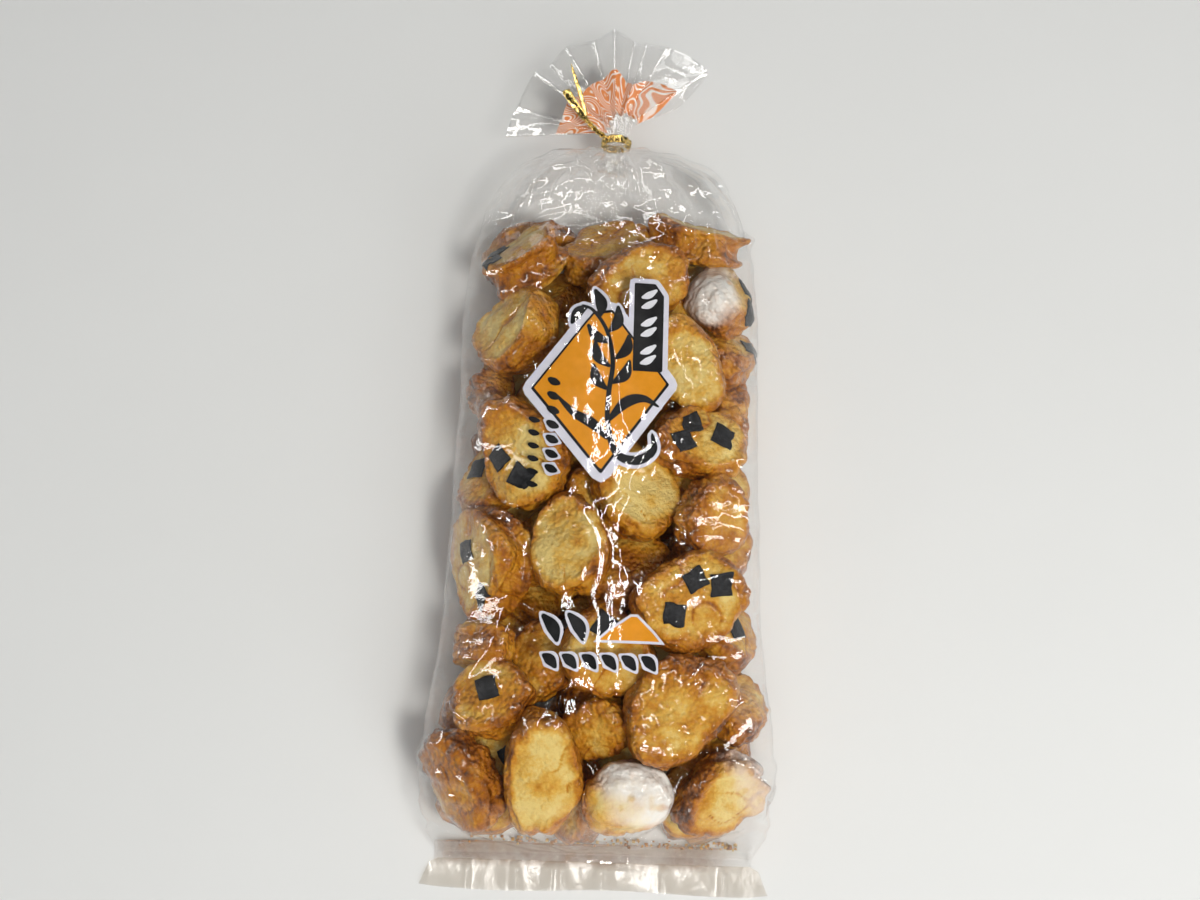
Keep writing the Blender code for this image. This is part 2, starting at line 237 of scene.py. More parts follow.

# %% [markdown]
# ## Where the crackers lie
#
# The crackers that show through the front of the bag are placed one by one, as a food stylist would lay them. Each
# row of the table is one cracker: its place in the bag in millimetres, its turn on the table, how far it leans, its
# size, its kind and its squares of seaweed. Under them comes a loose filling from seeded random numbers.

# %% Top layer
TOP_LAYER = (
    # x, y, height, turn, lean about its length, lean about its width, length, width, depth, kind, seaweed squares
    (-28, 55, 33, 22, -52, 0, 32, 21, 15, "split", ((-0.60, -0.15, 20), (-0.35, 0.60, 15))),
    (-1, 58, 33, 22, -55, 4, 33, 24, 14, "gold", ()),
    (26, 62, 31, -14, -68, 4, 35, 22, 14, "split", ()),
    (13, 53, 36, -12, 22, 4, 34, 27, 14, "gold", ()),
    (39, 46, 36, 60, 6, 14, 26, 24, 17, "puffed", ((0.30, -0.45, 30), (-0.25, -0.85, 20))),
    (39, 31, 30, 75, 10, 20, 24, 20, 14, "toasty", ((0.0, -0.75, 10),)),
    (-32, 33, 35, 14, -14, -6, 33, 27, 15, "plain", ()),
    (-17, 31, 32, 30, 14, 8, 18, 17, 14, "plain", ()),
    (-37, 13, 33, 100, 24, 14, 20, 17, 14, "toasty", ()),
    (23, 38, 30, 100, 6, 4, 26, 20, 14, "toasty", ()),
    (28, 19, 37, 112, -8, 2, 33, 25, 15, "plain", ()),
    (44, 12, 28, 84, 30, 6, 27, 24, 14, "toasty", ()),
    (-28, -7, 36, 104, -6, -8, 38, 30, 15, "gold", ((0.02, 0.38, 25), (-0.38, -0.02, 40))),
    (34, -4, 36, -14, -10, 4, 34, 24, 15, "gold", ((-0.30, 0.32, 20), (-0.42, -0.28, 30), (0.34, 0.10, 75))),
    (14, -18, 36, 112, 6, 6, 34, 27, 15, "plain", ()),
    (40, -26, 32, 12, 14, 10, 25, 25, 15, "toasty", ()),
    (-43, -19, 25, 85, -34, -8, 26, 20, 13, "gold", ((0.2, 0.2, 10),)),
    (-32, -41, 32, 99, -72, 0, 40, 30, 17, "split", ((0.20, 0.10, 12), (-0.58, -0.30, 40))),
    (-10, -38, 37, 100, -6, 8, 36, 26, 16, "plain", ()),
    (7, -42, 29, 75, -12, 18, 32, 24, 15, "toasty", ()),
    (28, -51, 37, 22, 8, -2, 38, 31, 16, "gold", ((0.05, 0.36, 12), (0.46, 0.12, -8), (-0.42, -0.22, 70))),
    (-35, -67, 33, 82, 14, -20, 25, 20, 15, "gold", ((0.05, -0.62, 80),)),
    (-16, -72, 28, 80, -6, 6, 26, 21, 14, "toasty", ()),
    (4, -73, 32, 10, 14, 0, 30, 29, 15, "gold", ((0.10, 0.62, 40),)),
    (42, -66, 29, 70, 14, 24, 25, 22, 14, "gold", ((-0.1, 0.1, 30),)),
    (-32, -88, 34, 16, -8, -10, 28, 23, 15, "gold", ((0.10, 0.10, 85),)),
    (-41, -107, 22, 112, -46, -14, 36, 24, 15, "toasty", ()),
    (-14, -104, 35, 96, 18, 2, 39, 27, 17, "plain", ()),
    (-1, -92, 27, 30, 12, 8, 24, 20, 14, "toasty", ()),
    (24, -87, 37, 52, 4, 6, 40, 32, 16, "toasty", ()),
    (6, -112, 31, 0, 22, 0, 28, 25, 17, "puffed", ()),
    (47, -83, 27, 80, 12, 34, 25, 20, 14, "toasty", ()),
    (37, -110, 30, 48, 18, 12, 35, 24, 17, "folded", ()),
)
WHITE_SIDES = {5: (-0.5, 0.9, 0.5), 31: (0.45, 0.85, 0.80), 33: (0.9, -0.5, 0.4)}  # where the white shows, by row
FILLING = 34
HIDDEN = 101  # the seed of the first cracker of the filling
WALL_GAP = 0.8 * MM  # what is kept between a cracker and the film
FILM_LOW, CRACKERS_LOW = 0.12 * MM, 0.3 * MM  # they don't reach lower than this over the table
SEALED_END, OPEN_END = -0.1290, 0.0775  # the crackers stay between these places along the bag, in m

# %% [markdown]
# ## Let them settle
#
# The listed crackers overlap. To part them, each one is thought of as a cluster of balls. Wherever two clusters
# overlap, both are pushed apart and turned, the film pushes them in from outside, and a light pull down closes the
# gaps. The listed ones move mostly up and down, so the layout keeps its look. A real physics solver could do this
# too, but 67 crackers need only a few hundred rounds of this one.

# %% The room inside the film
BODY_ROOM = MM * np.array((  # place along the bag, half width, height of the top, in mm, close to the solid model
    (-133, 51, 7), (-131.8, 51.5, 11), (-128.5, 53, 20), (-124.5, 54, 31), (-118, 56, 39.5), (-108, 57, 44),
    (-95, 55.8, 46), (-80, 53.5, 47), (-59, 51.2, 47.5), (-3, 49.5, 48.5), (42, 49, 47.5), (62, 47.2, 44.5),
    (76, 43.5, 41), (84, 39, 37.5), (90, 33.5, 35), (95, 28, 32.5), (99.5, 19, 28.5),
))


def room_at(y):
    """Half width and height of the bag's body at places along it."""
    return np.interp(y, BODY_ROOM[:, 0], BODY_ROOM[:, 1]), np.interp(y, BODY_ROOM[:, 0], BODY_ROOM[:, 2])


def turn_matrices(vectors):
    """Rotation matrices for an array of turns, each an axis scaled by its angle, by Rodrigues' formula."""
    angle = np.linalg.norm(vectors, axis=1)[:, None, None] + 1e-12
    x, y, z = (vectors / angle[:, :, 0]).T
    zero = np.zeros_like(x)
    cross = np.stack([zero, -z, y, z, zero, -x, -y, x, zero], axis=1).reshape(-1, 3, 3)
    return np.eye(3) + np.sin(angle) * cross + (1 - np.cos(angle)) * cross @ cross


# %% Settle
def first_layout():
    """Every cracker as a dictionary: the listed ones, then a filling in three rough rows under them."""
    crackers = []
    for number, (x, y, height, turn, roll, pitch, length, width, depth, kind, squares) in enumerate(TOP_LAYER):
        aim = Matrix.Rotation(math.radians(turn), 3, "Z")
        aim = aim @ Matrix.Rotation(math.radians(roll), 3, "X") @ Matrix.Rotation(math.radians(pitch), 3, "Y")
        size = (length * MM, width * MM, depth * MM)
        middle = (x * MM, y * MM, height * MM)
        own = dict(white=WHITE_SIDES[number + 1]) if number + 1 in WHITE_SIDES else {}
        own.update(middle=middle, aim=aim, size=size, kind=kind, squares=squares, seed=number + 1, free=0.25)
        crackers.append(own)
    chance = np.random.default_rng(11)
    for number in range(FILLING):
        row, place = number % 3, number // 3
        x = (-30 + 30 * row + chance.uniform(-5, 5)) * MM
        y = (-118 + 16.3 * place + chance.uniform(-5, 5)) * MM
        turn = chance.uniform(-1, 1, 3) * [0.7, 0.7, 3.1]
        aim = Matrix(turn_matrices(turn[None])[0].tolist())
        size = chance.uniform([28, 24, 13], [33, 28, 15]) * MM
        kind = ("gold", "toasty", "plain", "gold", "split")[chance.integers(5)]
        squares = tuple(chance.uniform([-0.4, -0.4, 0], [0.4, 0.4, 90])[None]) if chance.random() < 0.35 else ()
        middle = (x, y, chance.uniform(9, 20) * MM)
        own = dict(middle=middle, aim=aim, size=size, kind=kind, squares=squares, seed=HIDDEN + number, free=1.0)
        crackers.append(own)
    return crackers


def ball_cluster(size):
    """Eleven balls that fill a disc: eight around its rim and three along its middle. Places and one radius."""
    length, width, depth = (side / 2 for side in size)
    radius = 0.94 * depth
    turn = np.arange(8) * math.pi / 4
    rim = np.stack([(length - radius) * np.cos(turn), (width - radius) * np.sin(turn), 0 * turn], axis=1)
    core = np.array([(-0.3 * length, 0, 0), (0, 0, 0), (0.3 * length, 0, 0)])
    return np.concatenate([rim, core]), radius


def settle(crackers, rounds=420):
    """Moves the crackers apart and inside the film. Each round, every pair of overlapping balls of two crackers is
    pushed apart by their overlap, every ball outside the film's section is pushed in, and each cracker takes the mean
    of its pushes as a step and their moments as a turn."""
    clusters = [ball_cluster(cracker["size"]) for cracker in crackers]
    local = np.array([balls for balls, _ in clusters])
    radius = np.array([radius for _, radius in clusters])
    middle = np.array([cracker["middle"] for cracker in crackers])
    aim = np.array([[list(row) for row in cracker["aim"]] for cracker in crackers])
    free = np.array([cracker["free"] for cracker in crackers])[:, None]
    count, balls = local.shape[:2]
    owner = np.repeat(np.arange(count), balls)
    reach = radius[owner]
    apart = owner[:, None] != owner[None, :]
    for step in range(rounds):
        arms = np.einsum("nij,nkj->nki", aim, local)
        places = (middle[:, None] + arms).reshape(-1, 3)
        gap = places[:, None] - places[None, :]
        distance = np.sqrt((gap**2).sum(-1)) + 1e-9
        overlap = np.where(apart, np.clip(reach[:, None] + reach[None, :] - distance, 0, None), 0)
        push = (gap * (overlap / distance)[..., None]).sum(1) * 0.5
        half, top = room_at(places[:, 1])
        x, y, z = places.T
        inside = half - WALL_GAP - reach - 0.35 * np.abs(z - 0.020)
        push[:, 0] += np.clip(-inside - x, 0, None) - np.clip(x - inside, 0, None)
        roof = top * (1 - 0.30 * np.abs(x / half) ** 3) - WALL_GAP - reach
        push[:, 2] += np.clip(reach + WALL_GAP - z, 0, None) * 1.5 - np.clip(z - roof, 0, None) * 1.5
        push[:, 1] += np.clip(SEALED_END + reach + 0.06 * z - y, 0, None) - np.clip(y + reach - OPEN_END, 0, None)
        push = push.reshape(count, balls, 3)
        cooling = 1 - step / rounds
        shift = push.mean(1) * 2.0 * (0.4 + 0.6 * cooling)
        shift[:, 2] -= 0.00006 * cooling
        shift[:, :2] *= free
        moment = np.cross(arms, push).sum(1) / (arms**2).sum((1, 2))[:, None] * 0.9
        moment *= 0.25 + 0.75 * free
        middle = middle + np.clip(shift, -0.0012, 0.0012)
        aim = turn_matrices(np.clip(moment, -0.06, 0.06)) @ aim
    for cracker, place, turned in zip(crackers, middle, aim):
        cracker["middle"], cracker["aim"] = place, turned
    deepest = overlap.max() / MM
    print(f"{count} crackers settled, deepest overlap of two balls {deepest:.1f} mm")


crackers = first_layout()
settle(crackers)

# %% [markdown]
# ## The crackers as meshes
#
# Each cracker is a grid of directions run through the formula, turned and moved to its place. The crackers of one
# kind become one mesh, because they share a finish. Their browning and white puff go along as numbers at each point,
# for the material to read. The hidden ones at the bottom need fewer points.


# %% Cracker meshes
def cracker_grid(cracker, rows, columns):
    """One cracker's points and faces: a grid of directions, closed by a single point at each pole."""
    around = np.arange(columns) * 2 * math.pi / columns
    up = np.linspace(-math.pi / 2, math.pi / 2, rows + 2)[1:-1]
    up, around = np.meshgrid(up, around, indexing="ij")
    skin, toast, puff = cracker_skin(around, up, cracker)
    pole, pole_toast, pole_puff = cracker_skin(np.zeros(2), np.array([-1.5707, 1.5707]), cracker)
    pole[0], pole[1] = skin[0].mean(0), skin[-1].mean(0)
    points = np.concatenate([skin.reshape(-1, 3), pole])
    low, high = rows * columns, rows * columns + 1
    first, last = np.arange(columns), (rows - 1) * columns + np.arange(columns)
    bottom = [[int(b), int(a), low] for a, b in zip(first, np.roll(first, -1))]
    top = [[int(a), int(b), high] for a, b in zip(last, np.roll(last, -1))]
    faces = grid_quads(rows, columns, True).tolist() + bottom + top
    placed = points @ np.array(cracker["aim"]).T + cracker["middle"]
    placed[:, 2] = np.maximum(placed[:, 2], CRACKERS_LOW)
    return placed, faces, np.append(toast.ravel(), pole_toast), np.append(puff.ravel(), pole_puff)


def cracker_meshes():
    """One mesh for each kind of cracker."""
    meshes = {}
    for kind in KINDS:
        made = []
        for cracker in crackers:
            if cracker["kind"] == kind:
                made.append(cracker_grid(cracker, *((54, 120) if cracker["seed"] < HIDDEN else (26, 52))))
        toast, puff = (np.concatenate([parts[place] for parts in made]) for place in (2, 3))
        meshes[kind] = mesh_of(kind, [parts[:2] for parts in made], toast=toast, puff=puff)
    return meshes


cracker_mesh = cracker_meshes()
print("points in each mesh:", {kind: len(mesh.vertices) for kind, mesh in cracker_mesh.items()})

# %% [markdown]
# ## The finish of a cracker
#
# A fried rice cracker is pale yellow where the dough puffed most and brown where the soy glaze pooled and caught: on
# the rim, in creases and on blisters. The browning stored in the mesh is mixed with fine mottling and sent through a
# ramp of colours. Oil makes it shine in small broken glints, so there is a clear coat over a rough bumpy base.


# %% Node helpers
def new_material(name):
    """A material with its nodes and its Principled shader."""
    material = bpy.data.materials.new(name)
    material.use_nodes = True
    return material, material.node_tree, material.node_tree.nodes["Principled BSDF"]


def fill(node, **inputs):
    """Gives a node its inputs, each a value or another node's output. Underscores are spaces, _3 is input 3."""
    for key, value in inputs.items():
        socket = node.inputs[int(key[1:])] if key[0] == "_" else node.inputs[key.replace("_", " ")]
        if isinstance(value, bpy.types.NodeSocket):
            node.id_data.links.new(value, socket)
        else:
            socket.default_value = value
    return node


def add_node(tree, kind, settings=None, **inputs):
    """A new node with its settings and inputs."""
    made = tree.nodes.new(kind)
    for key, value in (settings or {}).items():
        setattr(made, key, value)
    return fill(made, **inputs)


def stored(tree, name):
    """The numbers that the mesh stores under a name."""
    return add_node(tree, "ShaderNodeAttribute", dict(attribute_name=name)).outputs["Fac"]


def bumped(tree, height, strength, distance):
    """A normal that a height tilts."""
    return add_node(tree, "ShaderNodeBump", Strength=strength, Distance=distance, Height=height).outputs["Normal"]


def math_node(tree, operation, first, second=0.0, third=0.0):
    """One operation on up to three numbers."""
    return add_node(tree, "ShaderNodeMath", dict(operation=operation), _0=first, _1=second, _2=third).outputs[0]


def colour_ramp(tree, factor, stops):
    """A ramp of colours through (place, colour) stops."""
    ramp = add_node(tree, "ShaderNodeValToRGB", Fac=factor)
    elements = ramp.color_ramp.elements
    while len(elements) < len(stops):
        elements.new(0.5)
    for element, (place, colour) in zip(elements, stops):
        element.position, element.color = place, (*colour, 1)
    return ramp.outputs["Color"]


def mottle_group():
    """A group that gives fine mottling in object coordinates: a mask from 0 to 1 at a chosen scale, and a height."""
    group = bpy.data.node_groups.new("mottle", "ShaderNodeTree")
    scale = group.interface.new_socket("Scale", in_out="INPUT", socket_type="NodeSocketFloat")
    scale.default_value = 300
    group.interface.new_socket("Mask", in_out="OUTPUT", socket_type="NodeSocketFloat")
    group.interface.new_socket("Height", in_out="OUTPUT", socket_type="NodeSocketFloat")
    entry, out = group.nodes.new("NodeGroupInput"), group.nodes.new("NodeGroupOutput")
    place = group.nodes.new("ShaderNodeTexCoord").outputs["Object"]
    soft = add_node(group, "ShaderNodeTexNoise", Vector=place, Scale=entry.outputs[0], Detail=4.0, Roughness=0.62)
    fine = math_node(group, "MULTIPLY", entry.outputs[0], 3.1)
    pits = add_node(group, "ShaderNodeTexNoise", Vector=place, Scale=fine, Detail=3.0, Roughness=0.55)
    spread = math_node(group, "MULTIPLY_ADD", soft.outputs["Fac"], 2.2, -0.6)
    both = math_node(group, "MULTIPLY_ADD", pits.outputs["Fac"], 0.45, soft.outputs["Fac"])
    fill(out, Mask=spread, Height=both)
    return group


mottle = mottle_group()


def mottled(tree, scale):
    """The mask and the height of the mottling at a scale."""
    made = add_node(tree, "ShaderNodeGroup", dict(node_tree=mottle), Scale=scale)
    return made.outputs["Mask"], made.outputs["Height"]


def mottled_finish(name, scale, stops, dull, bump, **constants):
    """A finish that follows the mottling: its mask goes through a ramp of colours and roughens by the first number
    of dull over the second, and its height tilts the normal."""
    material, tree, shader = new_material(name)
    mask, height = mottled(tree, scale)
    rough = math_node(tree, "MULTIPLY_ADD", mask, *dull)
    fill(shader, Base_Color=colour_ramp(tree, mask, stops), Roughness=rough, Normal=bumped(tree, height, *bump))
    fill(shader, **constants)
    return material


# %% Cracker finish
CRUST = (  # from puffed dough to burnt glaze
    (0.00, (0.82, 0.61, 0.20)), (0.22, (0.74, 0.425, 0.065)), (0.45, (0.61, 0.255, 0.013)),
    (0.68, (0.45, 0.145, 0.005)), (0.86, (0.28, 0.080, 0.003)), (1.00, (0.12, 0.032, 0.002)),
)
PUFF_WHITE = (0.86, 0.82, 0.75)


def cracker_finish():
    """Browning plus mottling through the crust ramp, white where it puffed, with oily coat and blister bumps. The
    blisters are domes: the distance from the middle of a Voronoi cell, turned upside down."""
    material, tree, shader = new_material("fried_crust")
    toast, puff = stored(tree, "toast"), stored(tree, "puff")
    broad, broad_height = mottled(tree, 260.0)
    small, small_height = mottled(tree, 900.0)
    place = tree.nodes.new("ShaderNodeTexCoord").outputs["Object"]
    cells = add_node(tree, "ShaderNodeTexVoronoi", dict(feature="SMOOTH_F1"), Vector=place, Scale=640.0, Smoothness=0.5)
    dome = math_node(tree, "SUBTRACT", 0.7, cells.outputs["Distance"])
    browning = math_node(tree, "MULTIPLY_ADD", broad, 0.30, math_node(tree, "SUBTRACT", toast, 0.15))
    browning = math_node(tree, "MULTIPLY_ADD", small, 0.18, math_node(tree, "SUBTRACT", browning, 0.09))
    browning = math_node(tree, "MULTIPLY_ADD", dome, math_node(tree, "MULTIPLY", toast, -0.25), browning)
    crust = colour_ramp(tree, browning, CRUST)
    whiteness = math_node(tree, "MULTIPLY", puff, math_node(tree, "MULTIPLY_ADD", broad, 0.4, 0.75))
    colour = add_node(tree, "ShaderNodeMix", dict(data_type="RGBA"), _0=whiteness, _6=crust, _7=(*PUFF_WHITE, 1))
    fill(shader, Base_Color=colour.outputs[2], Roughness=math_node(tree, "MULTIPLY_ADD", small, 0.16, 0.32))
    fill(shader, Coat_Weight=math_node(tree, "MULTIPLY_ADD", browning, 0.8, 0.4), Coat_Roughness=0.07)
    blistered = math_node(tree, "MULTIPLY", dome, math_node(tree, "MULTIPLY_ADD", toast, 1.1, 0.15))
    height = math_node(tree, "MULTIPLY_ADD", small_height, 0.35, math_node(tree, "MULTIPLY", broad_height, 0.6))
    height = math_node(tree, "ADD", height, blistered)
    height = math_node(tree, "MULTIPLY", height, math_node(tree, "MULTIPLY_ADD", whiteness, -0.75, 1.0))
    fill(shader, Normal=bumped(tree, height, 1.0, 0.0015), Specular_IOR_Level=0.3)
    return material


crust_material = cracker_finish()
cracker_pieces = [piece_of(f"crackers_{kind}", mesh, crust_material) for kind, mesh in cracker_mesh.items()]
print("made", len(cracker_pieces), "cracker pieces")

# %% [markdown]
# ## Seaweed squares
#
# The seaweed is cut into squares of about 7 mm and pressed on the dough before it is fried, so it follows the skin.
# Each square is a small grid laid flat over the cracker and sent through the cracker's own formula, then lifted by a
# fraction of a millimetre. The grid's edges are frayed a little with lumps.

# %% Seaweed
SQUARE = 6.8 * MM


def seaweed_square(cracker, across, along, turn):
    """A small grid on a cracker's upper skin. Its flat place is turned into a direction by undoing the formula for
    the reach, cos(up), and the skin at that direction is lifted outward."""
    steps = np.linspace(-0.5, 0.5, 13)
    u, v = np.meshgrid(steps, steps, indexing="ij")
    corner = at(u, v, cracker["seed"])
    fray = 1 + 0.10 * lumps(corner * 4, 1.0, 21) * (np.maximum(np.abs(u), np.abs(v)) > 0.45)
    angle = math.radians(turn)
    x = SQUARE * fray * (u * math.cos(angle) - v * math.sin(angle))
    y = SQUARE * fray * (u * math.sin(angle) + v * math.cos(angle))
    length, width = cracker["size"][0] / 2, cracker["size"][1] / 2
    flat_x, flat_y = x / length + across, y / width + along
    reach = np.clip(np.hypot(flat_x, flat_y), 0, 0.97)
    skin, _, _ = cracker_skin(np.arctan2(flat_y, flat_x), np.arccos(reach), cracker)
    side_u, side_v = np.gradient(skin, axis=0), np.gradient(skin, axis=1)
    out = np.cross(side_u, side_v)
    out /= np.linalg.norm(out, axis=-1)[..., None] + 1e-12
    crinkle = 0.10 * lumps(corner * 9, 1.0, 22)
    lifted = skin + out * ((0.30 + crinkle) * MM)[..., None]
    return sheet_of(lifted @ np.array(cracker["aim"]).T + cracker["middle"])


# nearly black and slightly green, with a broken dry shine
roasted = mottled_finish("roasted_seaweed", 700.0, ((0.2, (0.004, 0.004, 0.005)), (0.8, (0.016, 0.017, 0.020))),
                         (0.25, 0.28), (0.6, 0.0005), Specular_IOR_Level=0.35)
squares = [seaweed_square(cracker, *place) for cracker in crackers for place in cracker["squares"]]
seaweed = piece_of("seaweed_squares", mesh_of("seaweed_squares", squares), roasted)
paper = seaweed.modifiers.new("paper", "SOLIDIFY")
paper.thickness, paper.offset = 0.25 * MM, 0.0
print("cut", len(squares), "squares of seaweed")

# %% [markdown]
# ## The film
#
# The bag is a tube of thin clear plastic. Over the crackers it is pulled tight, so it touches their highest points
# and spans the hollows between them. At the shoulders it is free and gathers in folds to the neck. The film is one
# grid of rings. In each ring the film is first a smooth oval, then it is relaxed like a stretched skin that the
# crackers hold out, and last it gets its creases.

# %% Film rings
RINGS_ALONG = 290
POINTS_AROUND = 300
FOLD_Y = bag_low[1] + 9.5 * MM
NECK_Y = float(tie_low[1]) + 1.7 * MM
BODY_END = 99.5 * MM
DENSE_END = -0.1318  # the rings at the sealed end are closer up to here
TOUCHING = 0.55 * MM  # the film stays this far off the crackers
NECK_HEIGHT = 20 * MM


def ring_angles():
    """Angles round the film: 0 is +X, a quarter turn is the top. Two thirds of them are on the upper side."""
    share = np.arange(POINTS_AROUND) / POINTS_AROUND
    upper = np.clip(share / 0.64, 0, 1) * math.pi
    lower = np.clip((share - 0.64) / 0.36, 0, 1) * math.pi
    return upper + lower


def film_oval(y, angle):
    """The distance from the middle line to the film before the crackers push it: a squared-off oval with a crease
    at each side and a flat belly, found as the radius of |x/a|^p + |z/b|^p = 1 along each angle."""
    half, top = room_at(y)
    middle = film_middle(y)
    over = np.sin(angle) > 0
    tall = np.where(over, top - middle, middle - 0.3 * MM)
    power = np.where(over, 2.3, 3.2)
    cosine, sine = np.abs(np.cos(angle)), np.abs(np.sin(angle))
    return ((cosine / half) ** power + (sine / np.maximum(tall, 0.2 * MM)) ** power) ** (-1 / power)


def film_middle(y):
    """Height of the line that the rings go round. It comes down to the table at the sealed end."""
    return np.interp(y, [FOLD_Y, DENSE_END, -0.1245, -0.118, -0.06, 0.2], np.array([0.5, 5, 13, 17, 20, 20]) * MM)


def pushed_by_crackers(row_y, angle):
    """For each ring and angle, the farthest cracker point in that cell, as a distance from the middle line."""
    points = np.concatenate([positions(mesh) for mesh in cracker_mesh.values()])
    x, y, z = points.T
    row = np.rint(np.interp(y, row_y, np.arange(len(row_y)))).astype(int)
    around = np.arctan2(z - film_middle(y), x) % (2 * math.pi)
    column = np.rint(np.interp(around, np.append(angle, 2 * math.pi), np.arange(POINTS_AROUND + 1))).astype(int)
    reach = np.zeros((len(row_y), POINTS_AROUND))
    np.maximum.at(reach, (row, column % POINTS_AROUND), np.hypot(x, z - film_middle(y)))
    return reach


def positions(mesh):
    """A mesh's points as an array."""
    flat = np.empty(len(mesh.vertices) * 3)
    mesh.vertices.foreach_get("co", flat)
    return flat.reshape(-1, 3)


def relax(radius, held_out, pinned, rounds):
    """Stretched skin: each radius moves to the mean of its four neighbours, but never under what holds it out, and
    not at all where it is pinned."""
    for _ in range(rounds):
        mean = (np.roll(radius, 1, 1) + np.roll(radius, -1, 1)) * 0.25
        mean[1:-1] += (radius[2:] + radius[:-2]) * 0.25
        mean[0], mean[-1] = radius[0], radius[-1]
        radius = np.where(pinned, radius, np.maximum(mean, held_out))
    return radius


# %% Pull the film tight
def tight_film():
    """Radii of the film's body in every ring, over the crackers."""
    row_y = np.append(np.linspace(FOLD_Y, DENSE_END, 10)[:-1], np.linspace(DENSE_END, BODY_END, RINGS_ALONG - 9))
    angle = ring_angles()
    oval = film_oval(row_y[:, None], angle[None, :])
    crackers_out = pushed_by_crackers(row_y, angle) + TOUCHING
    crackers_out[crackers_out < 1.0 * MM] = 0
    belly = (film_middle(row_y)[:, None] - 0.3 * MM) / np.maximum(-np.sin(angle)[None, :], 1e-3)
    crackers_out = np.minimum(crackers_out, np.where(np.sin(angle) < 0, belly, 1.0))
    side = np.minimum(np.abs(angle - math.pi), np.minimum(angle, 2 * math.pi - angle))[None, :]
    pinned = (side < 0.02) | (row_y[:, None] < -0.1330) | (row_y[:, None] > 0.086)
    slack = smooth_step(0.050, 0.085, row_y)[:, None]
    inner = oval * (0.90 + 0.08 * slack)
    radius = relax(oval, np.maximum(crackers_out, inner), pinned, 140)
    radius = np.maximum(radius, crackers_out)
    return row_y, angle, np.minimum(radius, np.where(np.sin(angle) < 0, belly, 1.0))


row_y, ring_angle, film_radius = tight_film()
print("film radii from", np.round(film_radius.min() / MM, 1), "to", np.round(film_radius.max() / MM, 1), "mm")

# %% [markdown]
# ## Creases, folds and the ruffle
#
# Stiff film never bends smoothly. It breaks into flat facets with sharp creases between them. Along the body the
# creases are faint ridges, at the shoulders they gather into pleats that run to the neck, and past the tie the film
# opens again as a fan of flat pleats. The fan's folds are listed from right to left.

# %% Creases of the body
CREASES = (  # sharp ridges on the upper film: height in mm, width in mm, then the places in mm that they run through
    (0.42, 3.4, ((7, -20), (-6, -26), (-8, -28), (-4, -32), (-1, -39), (-1, -47), (-3, -54), (-1, -61), (-1, -71),
                 (1, -80))),
    (0.35, 3.0, ((7, -20), (12, -10), (21, 0), (24, 9))),
    (0.40, 3.2, ((20, 9), (25, 8), (30, -5), (34, -13), (38, -26))),
    (0.30, 2.6, ((28, -34), (34, -33), (48, -33))),
    (0.50, 3.0, ((34, -76), (28, -82), (26, -93))),
    (0.7, 2.2, ((34, -76), (41, -88), (46, -84))),
    (0.9, 1.8, ((24, 77), (25, 70), (26, 62))),
    (0.9, 1.8, ((31, 78), (31, 70), (33, 62))),
    (0.9, 2.4, ((-44, 62), (-40, 66), (-31, 67), (-18, 72))),
    (0.6, 2.4, ((40, 60), (30, 52), (20, 47))),
    (0.5, 2.2, ((-30, -58), (-34, -70), (-44, -84))),
    (1.2, 3.0, ((-55, -108), (-42, -112), (-31, -118), (-30, -126))),
    (1.0, 2.6, ((57, -103), (48, -112), (44, -124))),
    (1.4, 2.6, ((-12, 96), (-9, 90), (-4, 86), (3, 84))),
    (1.4, 2.8, ((15, 98), (24, 92), (30, 84), (38, 76))),
    (1.0, 2.4, ((-8, 97), (-3, 91), (-2, 85))),
    (1.0, 2.4, ((-36, 82), (-28, 78), (-20, 80), (-12, 88))),
)


def distance_to_path(x, y, path):
    """The distance of each place from a path of straight runs, seen from above."""
    nearest = np.full(np.shape(x), 1e9)
    for (x0, y0), (x1, y1) in zip(path[:-1], path[1:]):
        run = np.array([x1 - x0, y1 - y0], float)
        share = np.clip(((x - x0) * run[0] + (y - y0) * run[1]) / (run @ run), 0, 1)
        nearest = np.minimum(nearest, np.hypot(x - x0 - share * run[0], y - y0 - share * run[1]))
    return nearest


def facets(place, size, seed):
    """Crumples with flat facets and straight sharp creases, from 0 to 1: the mean of six triangle waves whose
    directions and lengths come from a seeded draw, over places that slow lumps have shifted a little."""
    chance = np.random.default_rng(seed)
    warped = place + 0.35 * size * lumps(place, 2.5 * size, seed)[..., None] * [1, 0.6, 0.3]
    total = 0
    for _ in range(6):
        turn, length, start = chance.uniform(0, math.pi), size * chance.uniform(0.6, 1.7), chance.uniform(0, 1)
        along = (warped @ np.array([math.cos(turn), math.sin(turn), 0.3])) / length + start
        total = total + np.abs(2 * (along % 1) - 1)
    return total / 6


